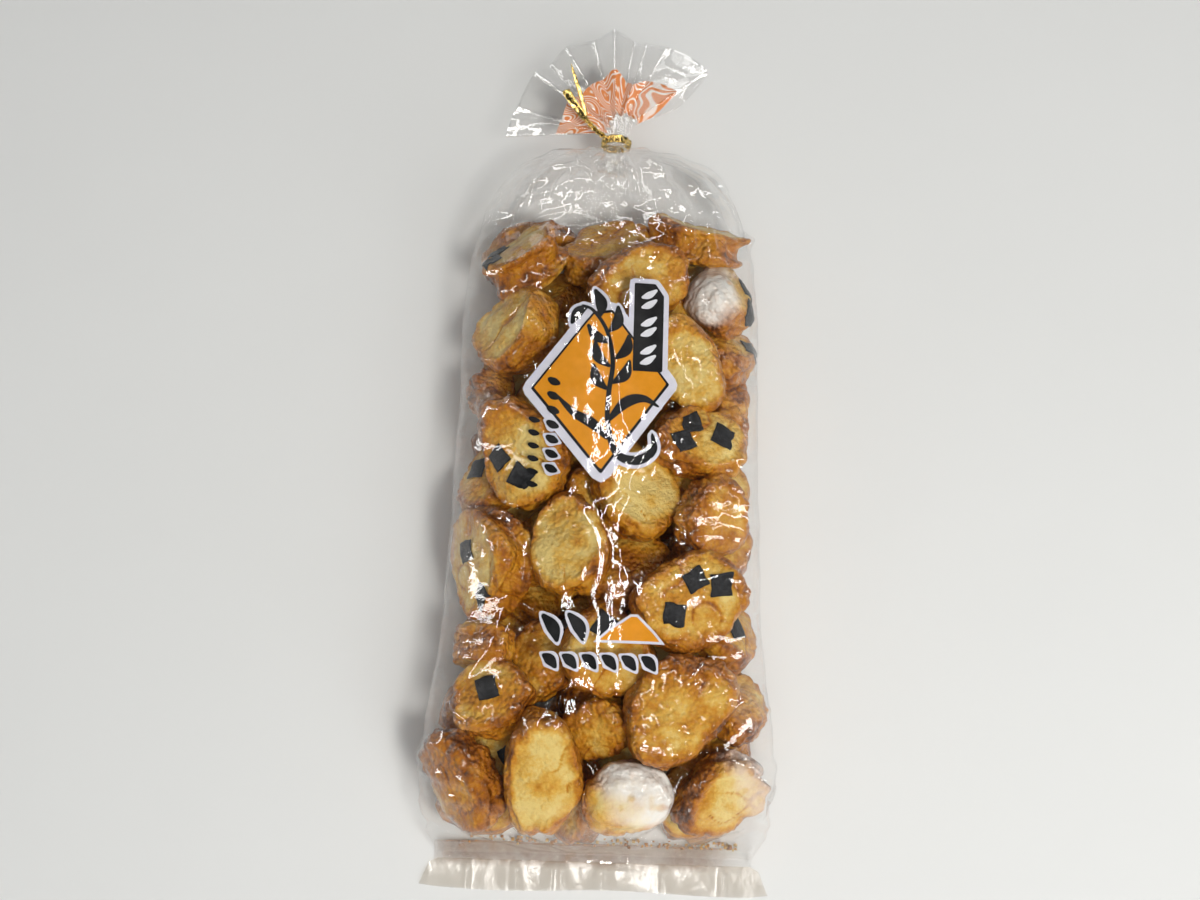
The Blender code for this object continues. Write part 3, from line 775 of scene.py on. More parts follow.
def crease_height(points):
    """How far the creases lift the film, in metres: rounded tents over the listed paths, facets where the film is
    loose, and ridged lumps, which are one minus the size of the lumps, sharpened by a power."""
    place = points / MM
    x, y, z = np.moveaxis(place, -1, 0)
    height = 0 * x
    for tall, wide, path in CREASES:
        height += tall * smooth_step(0, 1, 1 - distance_to_path(x, y, path) / wide)
    corner = smooth_step(30, 44, np.abs(x)) * smooth_step(-100, -114, y)
    loose = smooth_step(56, 84, y) + 0.6 * smooth_step(-112, -126, y) + 0.6 * corner
    ridge = (1 - np.abs(lumps(place, 24, 31))) ** 6 + 0.6 * (1 - np.abs(lumps(place, 12, 32))) ** 6
    valley = (1 - np.abs(lumps(place, 19, 36))) ** 6
    waves = 0.25 * lumps(place, 11, 34) + 0.20 * np.abs(lumps(place, 5, 35))
    spread, run = np.arctan2(x, 112 - y), np.hypot(x, 112 - y)
    radial = at(spread * 34, run / 2.6, np.sign(z - 20) * 9)
    crumple = 5.2 * (facets(radial, 11, 37) - 0.5) + 2.6 * (facets(place, 8, 38) - 0.5)
    height = height * (z > 14) + ridge * (0.36 + 0.5 * loose) - 0.5 * loose * valley + (0.05 + loose) * crumple
    return (height + waves) * MM


# %% Neck and ruffle
RUFFLE_ROOT = NECK_Y + 4.2 * MM
NECK_RADIUS = 3.7 * MM
RUFFLE_REACH = bag_high[1] - RUFFLE_ROOT
RUFFLE_FOLDS = np.array(
    (  # share of the way round the film, angle in degrees, lift in mm, share of the reach, end of the printed band
        (0.000, 66, 0.0, 0.62, 0.38),
        (0.075, 55, 4.0, 1.03, 0.67),
        (0.225, 27, -1.5, 1.00, 0.60),
        (0.325, 17, 2.6, 0.90, 0.52),
        (0.400, 9, -1.2, 0.93, 0.54),
        (0.475, -3, 3.0, 1.00, 0.63),
        (0.550, -14, -1.6, 0.97, 0.56),
        (0.650, -32, 3.0, 0.94, 0.53),
        (0.725, -44, -1.6, 0.93, 0.52),
        (0.800, -56, 4.0, 0.94, 0.56),
        (0.900, -77, -1.5, 0.97, 0.54),
        (1.000, -96, 2.0, 1.04, 0.56),
    )
)


def ruffle_at(share, front, reach):
    """Points of the ruffle. A share of the way round gives the fold's angle, lift and edge, which change in straight
    lines from fold to fold, so that the film between two folds is flat. The reach is 0 at the root and 1 at the cut
    edge. The front film lies a little over the back film."""
    away, lift, edge = (np.interp(share, RUFFLE_FOLDS[:, 0], RUFFLE_FOLDS[:, k]) for k in (1, 2, 3))
    away = np.radians(away)
    radius = RUFFLE_REACH * reach * (1 + (edge - 1) * reach)
    layer = np.where(front, 0.9, -0.9) * MM * np.clip(np.minimum(share, 1 - share) * 16, 0, 1) * reach
    z = NECK_HEIGHT + lift * MM * reach + layer
    points = at(radius * np.sin(away), RUFFLE_ROOT + radius * np.cos(away), z)
    rays = at(share * 9 + 0 * radius, reach * 1.3, np.where(front, 0.0, 9.0))
    bend = 2.2 * (facets(points / MM * [1, 1, 0], 19, 43) - 0.5)
    ripple = (0.25 * lumps(points / MM, 8, 41) + bend + 0.6 * (1 - np.abs(lumps(rays, 1.0, 42))) ** 8) * MM * reach
    points[..., 2] += ripple
    return points


def ruffle_rings(reaches):
    """Closed rings of the ruffle: the front film from right to left, then the back film from left to right."""
    front = ring_angle <= math.pi
    share = np.where(front, ring_angle / math.pi, 2 - ring_angle / math.pi)
    reaches = np.asarray(reaches)[:, None]
    return ruffle_at(share[None, :], front[None, :], reaches)


def neck_ring(y):
    """The gathered neck: a circle with small sharp pleats, so that it passes inside the tie."""
    pleat = 0.88 + 0.12 * np.abs(np.cos(8.5 * ring_angle))
    x, z = NECK_RADIUS * pleat * np.cos(ring_angle), NECK_HEIGHT + NECK_RADIUS * pleat * np.sin(ring_angle)
    return at(x, y, z)


# %% The whole film
def pleats(points, angle):
    """The shoulder's pleats: sharp folds that grow from nothing at the start of the shoulder to the neck. A fold is
    the size of a cosine, which has a sharp valley, over an angle that lumps make uneven."""
    grow = smooth_step(0.070, BODY_END, points[..., 1])
    uneven = angle + 0.22 * np.sin(3 * angle + 1.0) + 0.15 * np.sin(5 * angle)
    fold = np.abs(np.cos(5.5 * uneven)) - 0.6 + 0.4 * np.abs(np.cos(9 * uneven + 1.3))
    middle = np.array([0, 0, NECK_HEIGHT])
    spoke = (points - middle) * [1, 0, 1]
    return points + spoke * (0.20 * grow * fold)[..., None]


def film_points():
    """Every ring from the sealed end to the cut mouth: the body over the crackers, the gathered shoulder, the neck
    inside the tie, and the ruffle."""
    middle = at(0, row_y, film_middle(row_y))[:, None]
    spoke = at(np.cos(ring_angle), 0, np.sin(ring_angle))[None]
    body = middle + spoke * film_radius[..., None]
    lift = crease_height(body)
    lift = lift * np.clip((body[..., 2] / MM - 4) / 8, 0, 1) * smooth_step(FOLD_Y, FOLD_Y + 4 * MM, body[..., 1])
    body = pleats(body + spoke * lift[..., None], ring_angle[None, :])
    neck_start = neck_ring(NECK_Y - 2.6 * MM)
    shares = np.array([0.25, 0.5, 0.72, 0.9])[:, None, None]
    gathered = body[-1] * (1 - shares**0.8) + neck_start * shares**0.8
    neck = np.array([neck_ring(y) for y in np.linspace(NECK_Y - 2.6 * MM, NECK_Y + 2.4 * MM, 5)])
    start = ruffle_rings([0.2])[0]
    throat = np.array([neck[-1] * (1 - share) + start * share for share in (0.3, 0.6)])
    ruffle = ruffle_rings(np.append(np.linspace(0.2, 0.985, 25), 1.0))
    rings = np.concatenate([body, gathered, neck, throat, ruffle])
    rings[..., 2] = np.maximum(rings[..., 2], FILM_LOW)
    return rings


film_grid = film_points()
print("film grid of", film_grid.shape[0], "rings by", film_grid.shape[1], "points")

# %% [markdown]
# ## The finish of the film
#
# Thin clear film doesn't bend light, it only lets it through and reflects some of it, more at a glance than face on.
# So the finish is a mix of a see-through shader and a mirror-like one. How much it mirrors is 4% face on, 7% where the
# film is loose, and rises with a high power of how far it turns away, after Schlick's short form of Fresnel's law. The
# Fresnel node itself would take the film's inner side for thick plastic and turn it into a full mirror.


# %% Film finish
def film_finish(name, tint, roughness=0.045):
    """See-through film with a sharp gloss. Where it hangs loose, two skins lie together and mirror more."""
    material, tree, shader = new_material(name)
    facing = add_node(tree, "ShaderNodeLayerWeight", Blend=0.5).outputs["Facing"]
    edge = tuple(0.80 * part for part in tint)
    let_through = colour_ramp(tree, facing, ((0.0, tint), (0.72, tint), (1.0, edge)))
    clear = add_node(tree, "ShaderNodeBsdfTransparent", Color=let_through)
    face_on = math_node(tree, "MULTIPLY_ADD", stored(tree, "loose"), 0.036, 0.036)
    mirror = math_node(tree, "MULTIPLY_ADD", math_node(tree, "POWER", facing, 3.6), 0.80, face_on)
    normal = bumped(tree, mottled(tree, 90.0)[1], 0.30, 0.0006)
    fill(shader, Base_Color=(1, 1, 1, 1), Metallic=1.0, Roughness=roughness, Normal=normal)
    mix = add_node(tree, "ShaderNodeMixShader", _0=mirror, _1=clear.outputs[0], _2=shader.outputs[0])
    fill(tree.nodes["Material Output"], Surface=mix.outputs[0])
    return material


# the sealed fin is darker and warmer than the clear film: partly the sealed film's own tint, partly painted shade
FILM_TINT, SEALED_TINT_AND_SHADE = (0.990, 0.989, 0.986), (0.935, 0.917, 0.892)
film_material = film_finish("clear_film", FILM_TINT)
film_y = film_grid[..., 1] / MM
film_share = np.where(ring_angle <= math.pi, ring_angle, 2 * math.pi - ring_angle)[None] / math.pi
fold_line = np.exp(-(((film_share - RUFFLE_FOLDS[:, :1]) / 0.004) ** 2)).max(axis=0)
in_ruffle = smooth_step(RUFFLE_ROOT / MM, RUFFLE_ROOT / MM + 1, film_y)
loose_film = smooth_step(60, 85, film_y) + smooth_step(-122, -130, film_y) + in_ruffle * (3.0 * fold_line - 0.7)
loose_film = loose_film + smooth_step(-105, -118, film_y) * smooth_step(34, 46, np.abs(film_grid[..., 0]) / MM)
on_table = smooth_step(4.0, 2.0, film_grid[..., 2] / MM)
loose_film = loose_film * (1 - on_table) - 0.9 * on_table
loose_film[-1] += 6.0
film = piece_of("film", mesh_of("film", [sheet_of(film_grid, around=True)], loose=loose_film), film_material)
bpy.context.scene.cycles.transparent_max_bounces = 24
print("film has", len(film.data.polygons), "faces")


# %% Gathered film in the neck
def neck_gathers():
    """The film that is bunched up inside the neck: three pleated funnels, one in another. Their radius is the neck's
    times 0.3, 0.5 and 0.7 inside the tie, and grows with the square of the distance from it."""
    around = np.arange(96) * 2 * math.pi / 96
    along = np.linspace(-1, 1, 30)[:, None]
    sheets = []
    for number, share in enumerate((0.3, 0.5, 0.7)):
        pleat = 0.75 + 0.25 * np.abs(np.cos((3.5 + number) * around + number))[None, :]
        radius = NECK_RADIUS * share * pleat * (1 + 1.8 * along**2)
        y = NECK_Y + 9.5 * MM * along
        radius = radius + 0.6 * MM * lumps(at(around * 3, y / MM, number), 3, 45) * np.abs(along)
        sheets.append(sheet_of(at(radius * np.cos(around), y, NECK_HEIGHT + radius * np.sin(around)), around=True))
    loose = np.ones(sum(len(points) for points, _ in sheets))
    return piece_of("neck_gathers", mesh_of("neck_gathers", sheets, loose=loose), film_material)


gathers = neck_gathers()

# %% [markdown]
# ## The sealed fin
#
# Past the end wall the two layers are welded into a flat fin that lies on the table. It is slightly wavy, with its
# corners rounded and its cut edge not quite straight.


# %% Fin
def fin_grid(height):
    """One layer of the fin: a strip that widens from the fold to the cut edge, with low waves across it."""
    across, along = np.meshgrid(np.linspace(-1, 1, 240), np.linspace(0, 1, 16), indexing="ij")
    corner = 1 - 0.05 * np.clip(np.abs(across) - 0.9, 0, 1) / 0.1 * along
    half = np.interp(along, [0, 0.15, 1], [50.5, 53.5, 56.5]) * MM
    x = across * half
    y = FOLD_Y + 0.2 * MM + (bag_low[1] + 0.2 * MM - FOLD_Y) * along * corner
    y = y + 0.5 * MM * np.sin(across * 5 + 1) * along
    wave = 0.5 + 0.5 * np.sin(across * 17 + 2 * np.sin(across * 4)) * along
    sheet = at(x / MM, y / MM, 0)
    fold = (1 - np.abs(lumps(sheet * [1, 0.2, 1], 8, 48))) ** 10
    z = (height + 0.45 * wave * along + (0.7 * facets(sheet, 24, 39) + 0.6 * fold) * np.minimum(1, 3 * along)) * MM
    return at(x, y, z)


# the upper layer faces up and the lower one down
fin_layers = [sheet_of(fin_grid(0.55), turned=True), sheet_of(fin_grid(0.30))]
fin_mesh = mesh_of("bottom_fin", fin_layers, loose=np.full(2 * len(fin_layers[0][0]), 0.3))
# the fin's darker warm tint is partly the sealed film's own and partly painted shade
fin = piece_of("bottom_fin", fin_mesh, film_finish("sealed_film_and_painted_shade", SEALED_TINT_AND_SHADE, 0.18))


# %% Crumbs
CRUMBS = 150


def crumbs():
    """Crumbs that gathered along the seal: small uneven eight-cornered grains, each a cube whose corners are moved."""
    chance = np.random.default_rng(5)
    corners = np.array(list(product((-1, 1), repeat=3)), float)
    cube = [[0, 1, 3, 2], [4, 6, 7, 5], [0, 4, 5, 1], [2, 3, 7, 6], [0, 2, 6, 4], [1, 5, 7, 3]]
    grains = []
    for _ in range(CRUMBS):
        size = chance.uniform(0.15, 0.75) ** 1.5 * MM
        x = (46 - 90 * chance.uniform(0, 1) ** 1.5) * MM
        y = (-129.6 + chance.uniform(-0.6, 1.8)) * MM
        z = (1.0 + chance.uniform(0, 3)) * MM
        grains.append((corners * size * chance.uniform(0.5, 1.2, (8, 3)) + [x, y, z], cube))
    shade = np.repeat(chance.uniform(0.1, 0.7, CRUMBS), 8)
    return piece_of("crumbs", mesh_of("crumbs", grains, toast=shade, puff=0 * shade), crust_material)


crumb_piece = crumbs()


# %% Seal line and painted shade
PAINTED_SHADE_BAND = (  # place over the weld in mm, and how dense the painted shade is
    (0.5, 0.0), (0.25, 1.0), (-0.25, 1.0), (-0.5, 0.72), (-3.0, 0.62), (-5.5, 0.46), (-8.0, 0.0)
)


def weld_line_and_painted_shade():
    """The weld that closes the bag: a thin dark line under the film, which is painted shade, and a brown band
    that fades from it towards the cut edge, which is painted shade and a painted reflection of the crackers. The
    shade of each row says how dense it is."""
    across, row = np.meshgrid(np.linspace(-52, 52, 160), np.arange(len(PAINTED_SHADE_BAND)), indexing="ij")
    over, dense = np.array(PAINTED_SHADE_BAND)[row, 0], np.array(PAINTED_SHADE_BAND)[row, 1]
    place = at(across, 0, 0)
    shade = dense * (0.75 + 0.35 * lumps(place, 12, 47)) * smooth_step(52, 40, np.abs(across + 4))
    points = at(across, -129.9 + 0.4 * lumps(place, 25, 46) + over, 2.2 + 0.5 * over.clip(-3, 0)) * MM
    mesh = mesh_of("weld_line_and_painted_shade", [sheet_of(points, turned=True)], shade=shade)
    material, tree, shader = new_material("weld_painted_shade")
    mask, height = mottled(tree, 300.0)
    # browns of painted shade and of a painted reflection of the crackers
    colour = colour_ramp(tree, mask, ((0.2, (0.19, 0.080, 0.025)), (0.9, (0.36, 0.20, 0.10))))
    cover = math_node(tree, "MULTIPLY", stored(tree, "shade"), math_node(tree, "MULTIPLY_ADD", mask, 0.5, 0.7))
    fill(shader, Base_Color=colour, Alpha=cover, Normal=bumped(tree, height, 0.3, 0.0003))
    fill(shader, Roughness=0.9, Specular_IOR_Level=0.04)
    return piece_of("weld_line_and_painted_shade", mesh, material)


seal = weld_line_and_painted_shade()

# %% [markdown]
# ## Print on the film
#
# The label is printed inside the film, so the film's gloss goes over it. Each field of ink is its own thin sheet: a
# shape in the plane of the label, dropped on the film and set a fraction of a millimetre under it. The colours that
# were printed first, which show on top, sit nearest to the film. The writing is left out. In its place there are
# brush dabs shaped like grains of rice.


# %% Dropping shapes on the film
def height_map():
    """The film's upper side as heights on a square lattice: each ring gives height against width, and the rings are
    then read at even steps along the bag."""
    rows = len(row_y)
    top = ring_angle <= math.pi
    across = np.linspace(-0.046, 0.046, 231)
    table = np.array([np.interp(across, ring[top][::-1, 0], ring[top][::-1, 2]) for ring in film_grid[:rows]])
    return across, table


label_across, label_heights = height_map()


def film_height(x, y):
    """Height of the film at places seen from above, blended between the four nearest lattice points."""
    column = np.interp(x, label_across, np.arange(len(label_across)))
    row = np.interp(y, row_y, np.arange(len(row_y)))
    c, r = np.clip(column.astype(int), 0, len(label_across) - 2), np.clip(row.astype(int), 0, len(row_y) - 2)
    s, t = column - c, row - r
    low = label_heights[r, c] * (1 - s) + label_heights[r, c + 1] * s
    high = label_heights[r + 1, c] * (1 - s) + label_heights[r + 1, c + 1] * s
    return low * (1 - t) + high * t


def pinched_folds():
    """Folds where the tight film is pinched into a narrow double strip that stands level, so that it shines from end
    to end. Each is a ribbon along the first crease paths, a little over the film's mean height."""
    sheets = []
    for (_, _, path), wide in zip(CREASES[:3], (0.75, 0.45, 0.5)):
        curve = curve_through(path, 90)
        ahead = np.gradient(curve, axis=0)
        ahead /= np.linalg.norm(ahead, axis=1)[:, None]
        height = film_height(*(curve.T * MM)) / MM
        height = np.convolve(np.pad(height, 6, mode="edge"), np.ones(13) / 13, mode="valid") + 0.3
        uneven = 0.8 + 0.5 * lumps(at(*curve.T, 0), 5, 49)
        narrow = wide * uneven * np.sin(np.linspace(0.04, math.pi - 0.04, 90)) ** 0.5
        offset = narrow[:, None] * np.linspace(-1, 1, 5)
        x, y = curve[:, :1] + ahead[:, 1:] * offset, curve[:, 1:] - ahead[:, :1] * offset
        sheets.append(sheet_of(at(x, y, height[:, None]) * MM))
    return printed("film_folds", sheets, film_material)


def under_film(x, y, depth):
    """Places seen from above, in mm, set under the film by a depth in mm."""
    x, y = x * MM, y * MM
    return at(x, y, film_height(x, y) - depth * MM)


def field(corners, depth, grow=0.0, hole=None, rounding=0.0):
    """A filled shape with straight sides. Its edge is read around its middle, and rings run from the middle out to
    it, or from the hole, which is a share of the way. Growing moves the edge outward."""
    corners = np.array(corners, float)
    middle = corners.mean(0)
    turn = np.arange(240) * 2 * math.pi / 240
    ray = np.stack([np.cos(turn), np.sin(turn)], axis=1)
    edge = np.full(240, 1e9)
    for start, end in zip(corners, np.roll(corners, -1, axis=0)):
        side = end - start
        normal = np.array([side[1], -side[0]]) / np.hypot(*side)
        reach = (start - middle) @ normal
        facing = ray @ normal
        with np.errstate(divide="ignore"):
            edge = np.where(facing * reach > 0, np.minimum(edge, (abs(reach) + grow) / np.abs(facing)), edge)
    if rounding:
        edge = (edge + rounding * np.roll(edge, 3) + rounding * np.roll(edge, -3)) / (1 + 2 * rounding)
    shares = np.linspace(hole if hole else 0.004, 1, 4 if hole else 26)
    place = middle + shares[:, None, None] * (edge[:, None] * ray)[None]
    return sheet_of(under_film(place[..., 0], place[..., 1], depth), around=True)


def curve_through(places, count):
    """Places spaced along a smooth curve through the given ones, by Catmull and Rom's cubic."""
    places = np.array(places, float)
    padded = np.concatenate([2 * places[:1] - places[1:2], places, 2 * places[-1:] - places[-2:-1]])
    t = np.linspace(0, len(places) - 1, count)
    k = np.minimum(t.astype(int), len(places) - 2)
    t = (t - k)[:, None]
    a, b, c, d = padded[k], padded[k + 1], padded[k + 2], padded[k + 3]
    return 0.5 * (2 * b + (c - a) * t + (2 * a - 5 * b + 4 * c - d) * t**2 + (3 * b - a - 3 * c + d) * t**3)


def brush_stroke(path, depth, grow=0.0):
    """A stroke of a brush: a ribbon along a smooth curve whose places are (x, y, width) in mm. Its ends are rounded,
    because its width there falls as a circle does."""
    curve = curve_through(path, 60)
    middle, width = curve[:, :2], np.maximum(curve[:, 2], 0.1) / 2 + grow
    ahead = np.gradient(middle, axis=0)
    ahead /= np.linalg.norm(ahead, axis=1)[:, None] + 1e-9
    side = np.stack([-ahead[:, 1], ahead[:, 0]], axis=1)
    run = np.concatenate([[0], np.cumsum(np.linalg.norm(np.diff(middle, axis=0), axis=1))])
    middle = middle + ahead * (np.linspace(-1, 1, 60) ** 9 * grow)[:, None]
    left = np.minimum(run, run[-1] - run) + 0.02
    round_off = np.sqrt(np.clip(1 - (1 - np.clip(left / (width + 0.01), 0, 1)) ** 2, 0.01, 1))
    offset = np.linspace(-1, 1, 7)[None, :, None] * (side * (width * round_off)[:, None])[:, None]
    place = middle[:, None] + offset
    return sheet_of(under_film(place[..., 0], place[..., 1], depth))


# %% The label's shapes, in mm
DIAMOND = ((-24.8, 11.2), (-1.8, -16.4), (19.2, 13.6), (0.5, 37.5), (-5.5, 37.0))
TAB = ((7.3, 47.0), (7.3, 17.5), (16.8, 17.5), (16.8, 43.0), (14.0, 47.0))
BRUSH = (  # an ear of rice that bends over: the stalk with its root, two blades, then the grains up the stalk
    ((14, -2.5, 0.8), (14.5, -8, 2.4), (9.5, -11.5, 3.2), (3, -9.5, 2.4), (0, 0, 1.7), (0, 10, 1.6), (1, 20, 1.5),
     (-1, 30, 1.3), (-5.5, 37, 1.1), (-9.5, 39, 0.8)),
    ((0.4, -5, 1.4), (-5, 0, 3.4), (-11, 3.5, 2.4), (-17, 9.5, 0.6)),
    ((0, 1, 1.4), (5.5, 7, 3.6), (11, 8.5, 2.4), (16, 6, 0.6)),
    ((-0.5, 11, 0.9), (-4, 14.5, 3.6), (-5.2, 19.5, 0.9)),
    ((0.8, 13, 0.9), (4.8, 16, 3.8), (6.4, 21, 0.9)),
    ((0.2, 18.5, 0.9), (-3.8, 22, 3.6), (-4.8, 27, 0.9)),
    ((1.6, 21, 0.9), (5.2, 24.5, 3.6), (6.0, 29.5, 0.9)),
    ((0, 26.5, 0.9), (-4.4, 28.5, 3.4), (-7.4, 32.5, 0.9)),
    ((-0.6, 30, 0.9), (2.2, 33.5, 3.6), (2.2, 39, 0.9)),
    ((-3.5, 35, 0.9), (-3.2, 39.5, 3.8), (-5.4, 44.5, 0.9)),
    ((-7.5, 38.5, 0.9), (-10.6, 36.5, 3.4), (-12.6, 32.5, 0.9)),
)


def repeated(mark, count, step):
    """A mark and its copies, each moved on by a step in x and y."""
    return tuple(tuple((x + step[0] * k, y + step[1] * k, wide) for x, y, wide in mark) for k in range(count))


SMALL_MARKS = repeated(((-19.4, 14.6, 1.2), (-17.4, 13.4, 2.5), (-15.4, 12.6, 1.0)), 7, (0, -4.7))
THIN_MARKS = repeated(((-25.0, 1.6, 0.9), (-23.2, 0.8, 1.9), (-21.4, 0.4, 0.7)), 6, (0, -4.1))
TAB_MARKS = [  # two columns of grains, paired row by row
    repeated(((9.6, top, 0.7), (12.0, top + 1.0, 2.3), (14.6, top + 3.0, 0.7)), 3, (0, -9.3)) for top in (42.0, 38.6)
]
TAB_MARKS = sum(zip(*TAB_MARKS), ())
LOWER_MARKS = repeated(((-18.0, -72.8, 1.0), (-15.6, -74.4, 3.4), (-13.6, -77.0, 1.0)), 6, (6.1, 0)) + (
    ((-18.5, -60.5, 1.2), (-15.0, -64.5, 4.0), (-13.5, -69.0, 1.0)),
    ((-10.5, -60.0, 1.2), (-7.0, -64.0, 4.0), (-5.5, -68.5, 1.0)),
)
HILL = ((-1.5, -68.0), (18.0, -68.0), (16.0, -65.6), (10.8, -60.6), (7.5, -60.6), (2.5, -65.2))


# %% Ink
def ink(name, colour):
    """Printing ink: its colour, thinned a little in soft patches, under a smooth surface."""
    thin = tuple(min(1, 1.12 * part + 0.01) for part in colour)
    stops = ((0.1, colour), (0.9, thin))
    return mottled_finish(name, 180.0, stops, (0.1, 0.35), (0.1, 0.0001), Specular_IOR_Level=0.15)


def printed(name, sheets, material):
    """The sheets as one piece. A sheet that faces down is turned over."""
    made = mesh_of(name, sheets)
    built = bmesh.new()
    built.from_mesh(made)
    built.normal_update()
    bmesh.ops.reverse_faces(built, faces=[face for face in built.faces if face.normal.z < 0])
    built.to_mesh(made)
    built.free()
    return piece_of(name, made, material)


folds = pinched_folds()
black_ink = ink("black_ink", (0.004, 0.004, 0.005))
orange_ink = ink("orange_ink", (0.74, 0.285, 0.004))
pale_ink = ink("pale_ink", (0.68, 0.67, 0.74))
white_ink = ink("white_ink", (0.75, 0.75, 0.78))
outlined = BRUSH + SMALL_MARKS + LOWER_MARKS
label_pieces = [
    printed("label_border", [field(DIAMOND, 0.34, 2.6, rounding=0.5), field(TAB, 0.34, 1.6, rounding=0.3)]
            + [brush_stroke(path, 0.33, 1.05) for path in outlined] + [field(HILL, 0.34, 0.8)], pale_ink),
    printed("label_orange", [field(DIAMOND, 0.28, -0.1), field(HILL, 0.28)], orange_ink),
    printed("label_outline", [field(DIAMOND, 0.23, -0.05, hole=0.955)], black_ink),
    printed("label_tab", [field(TAB, 0.24, 0.0)], black_ink),
    printed("label_brush", [brush_stroke(path, 0.16) for path in outlined + THIN_MARKS], black_ink),
    printed("label_tab_marks", [brush_stroke(path, 0.16) for path in TAB_MARKS], white_ink),
]
print("printed", len(label_pieces), "fields of ink")

# %% [markdown]
# ## The printed band of the ruffle
#
# Near the mouth the film has a printed band: orange with white lines that swirl like wood grain. The film is folded
# there, so the band's upper edge zigzags. The lines are the contours of slow lumps: where the lumps pass a round
# number, there is a line.


# %% Printed band
def band_grid(front):
    """One layer of the band: the ruffle's own formula, just under the film, from the band's lower to its upper
    edge."""
    share, step = np.meshgrid(np.linspace(0.01, 0.99, 160), np.linspace(0, 1, 24), indexing="ij")
    far = np.interp(share, RUFFLE_FOLDS[:, 0], RUFFLE_FOLDS[:, 4])
    near = np.interp(share, [0, 0.3, 0.5, 0.7, 1], [0.22, 0.20, 0.17, 0.10, 0.08]) + 0.02 * np.sin(share * 31)
    points = ruffle_at(share, front, near + (far - near) * step)
    points[..., 2] -= 0.12 * MM if front else -0.12 * MM
    return sheet_of(points, turned=front)


def band_finish():
    """Orange ink with white contour lines of a slow noise."""
    material, tree, shader = new_material("swirl_ink")
    place = tree.nodes.new("ShaderNodeTexCoord").outputs["Object"]
    slow = add_node(tree, "ShaderNodeTexNoise", Vector=place, Scale=62.0, Detail=1.2, Distortion=0.8)
    wave = math_node(tree, "SINE", math_node(tree, "MULTIPLY", slow.outputs["Fac"], 165.0))
    line = add_node(tree, "ShaderNodeMapRange", Value=wave, From_Min=0.05, From_Max=0.6)
    patch, _ = mottled(tree, 70.0)
    paler = math_node(tree, "MULTIPLY", line.outputs[0], math_node(tree, "MULTIPLY_ADD", patch, 0.5, 0.55))
    stops = ((0.0, (0.80, 0.265, 0.065)), (0.4, (0.86, 0.46, 0.25)), (0.9, (0.94, 0.84, 0.78)))
    fill(shader, Base_Color=colour_ramp(tree, paler, stops), Roughness=0.4)
    return material


band = piece_of("ruffle_band", mesh_of("ruffle_band", [band_grid(True), band_grid(False)]), band_finish())

# %% [markdown]
# ## The foil tie
#
# The tie is a paper strip with a wire in it, covered with gold foil. It goes once round the neck, its two ends are
# wound together, and the tails stand off over the ruffle. Each part is a strip swept along a curve. Wound foil
# catches the light in small facets, so the surface gets crisp crumples in the mesh itself.


# %% Tie
def strip_along(path, widths, thicknesses, rolls, seed):
    """A strip with rounded edges: at each step of the path an oval section, turned about the path by its roll, with
    crumples that move its surface in and out. Its ends are closed by drawing the section in to a point."""
    ahead = np.gradient(path, axis=0)
    ahead /= np.linalg.norm(ahead, axis=1)[:, None]
    side = np.cross(ahead, [0, 0, 1.0])
    side /= np.linalg.norm(side, axis=1)[:, None]
    lift = np.cross(side, ahead)
    cosine, sine = np.cos(rolls)[:, None], np.sin(rolls)[:, None]
    across, over = side * cosine + lift * sine, lift * cosine - side * sine
    turn = np.arange(20) * 2 * math.pi / 20
    flat = np.sign(np.cos(turn)) * np.abs(np.cos(turn)) ** 0.6
    thick = np.sign(np.sin(turn)) * np.abs(np.sin(turn)) ** 0.8 * (1 + 0.6 * np.exp(-((np.cos(turn) / 0.35) ** 2)))
    closing = np.sqrt(np.clip(1 - np.linspace(-1, 1, len(path)) ** 40, 0.0004, 1))[:, None, None]
    section = across[:, None] * (widths[:, None] * flat)[..., None]
    section = section + over[:, None] * (thicknesses[:, None] * thick)[..., None]
    points = path[:, None] + section * closing
    crumple = np.round(lumps(points / MM, 1.1, seed) * 2) / 2 + lumps(points / MM, 0.8, seed + 1)
    points = points + section * (0.14 * crumple * closing[..., 0])[..., None]
    faces = grid_quads(len(path), 20, True).tolist() + [list(range(19, -1, -1))]
    faces.append([(len(path) - 1) * 20 + k for k in range(20)])
    return points.reshape(-1, 3), faces


def tie_band():
    """The band round the neck: a flat section carried round a circle, with crumples, a little wider than the neck."""
    around, section = np.meshgrid(np.arange(96) * 2 * math.pi / 96, np.arange(16) * 2 * math.pi / 16, indexing="ij")
    wide = 1.35 * MM * np.sign(np.cos(section)) * np.abs(np.cos(section)) ** 0.5
    place = at(6 * np.cos(around), 6 * np.sin(around), wide / MM)
    rib = 0.26 * np.cos(wide / MM * 5.2) + 2.2 * (facets(place, 2.0, 51) - 0.5) + 0.2 * np.abs(lumps(place, 0.9, 52))
    radius = (4.45 + 0.33 * np.sin(section) + rib * (np.sin(section) > 0)) * MM
    y = NECK_Y + wide + 0.3 * MM * np.sin(around)
    points = at(radius * np.cos(around), y, NECK_HEIGHT + radius * np.sin(around))
    number = np.arange(96 * 16).reshape(96, 16)
    right, over = np.roll(number, -1, axis=0), np.roll(number, -1, axis=1)
    faces = np.stack([number, over, np.roll(right, -1, axis=1), right], axis=-1).reshape(-1, 4)
    return points.reshape(-1, 3), faces.tolist()


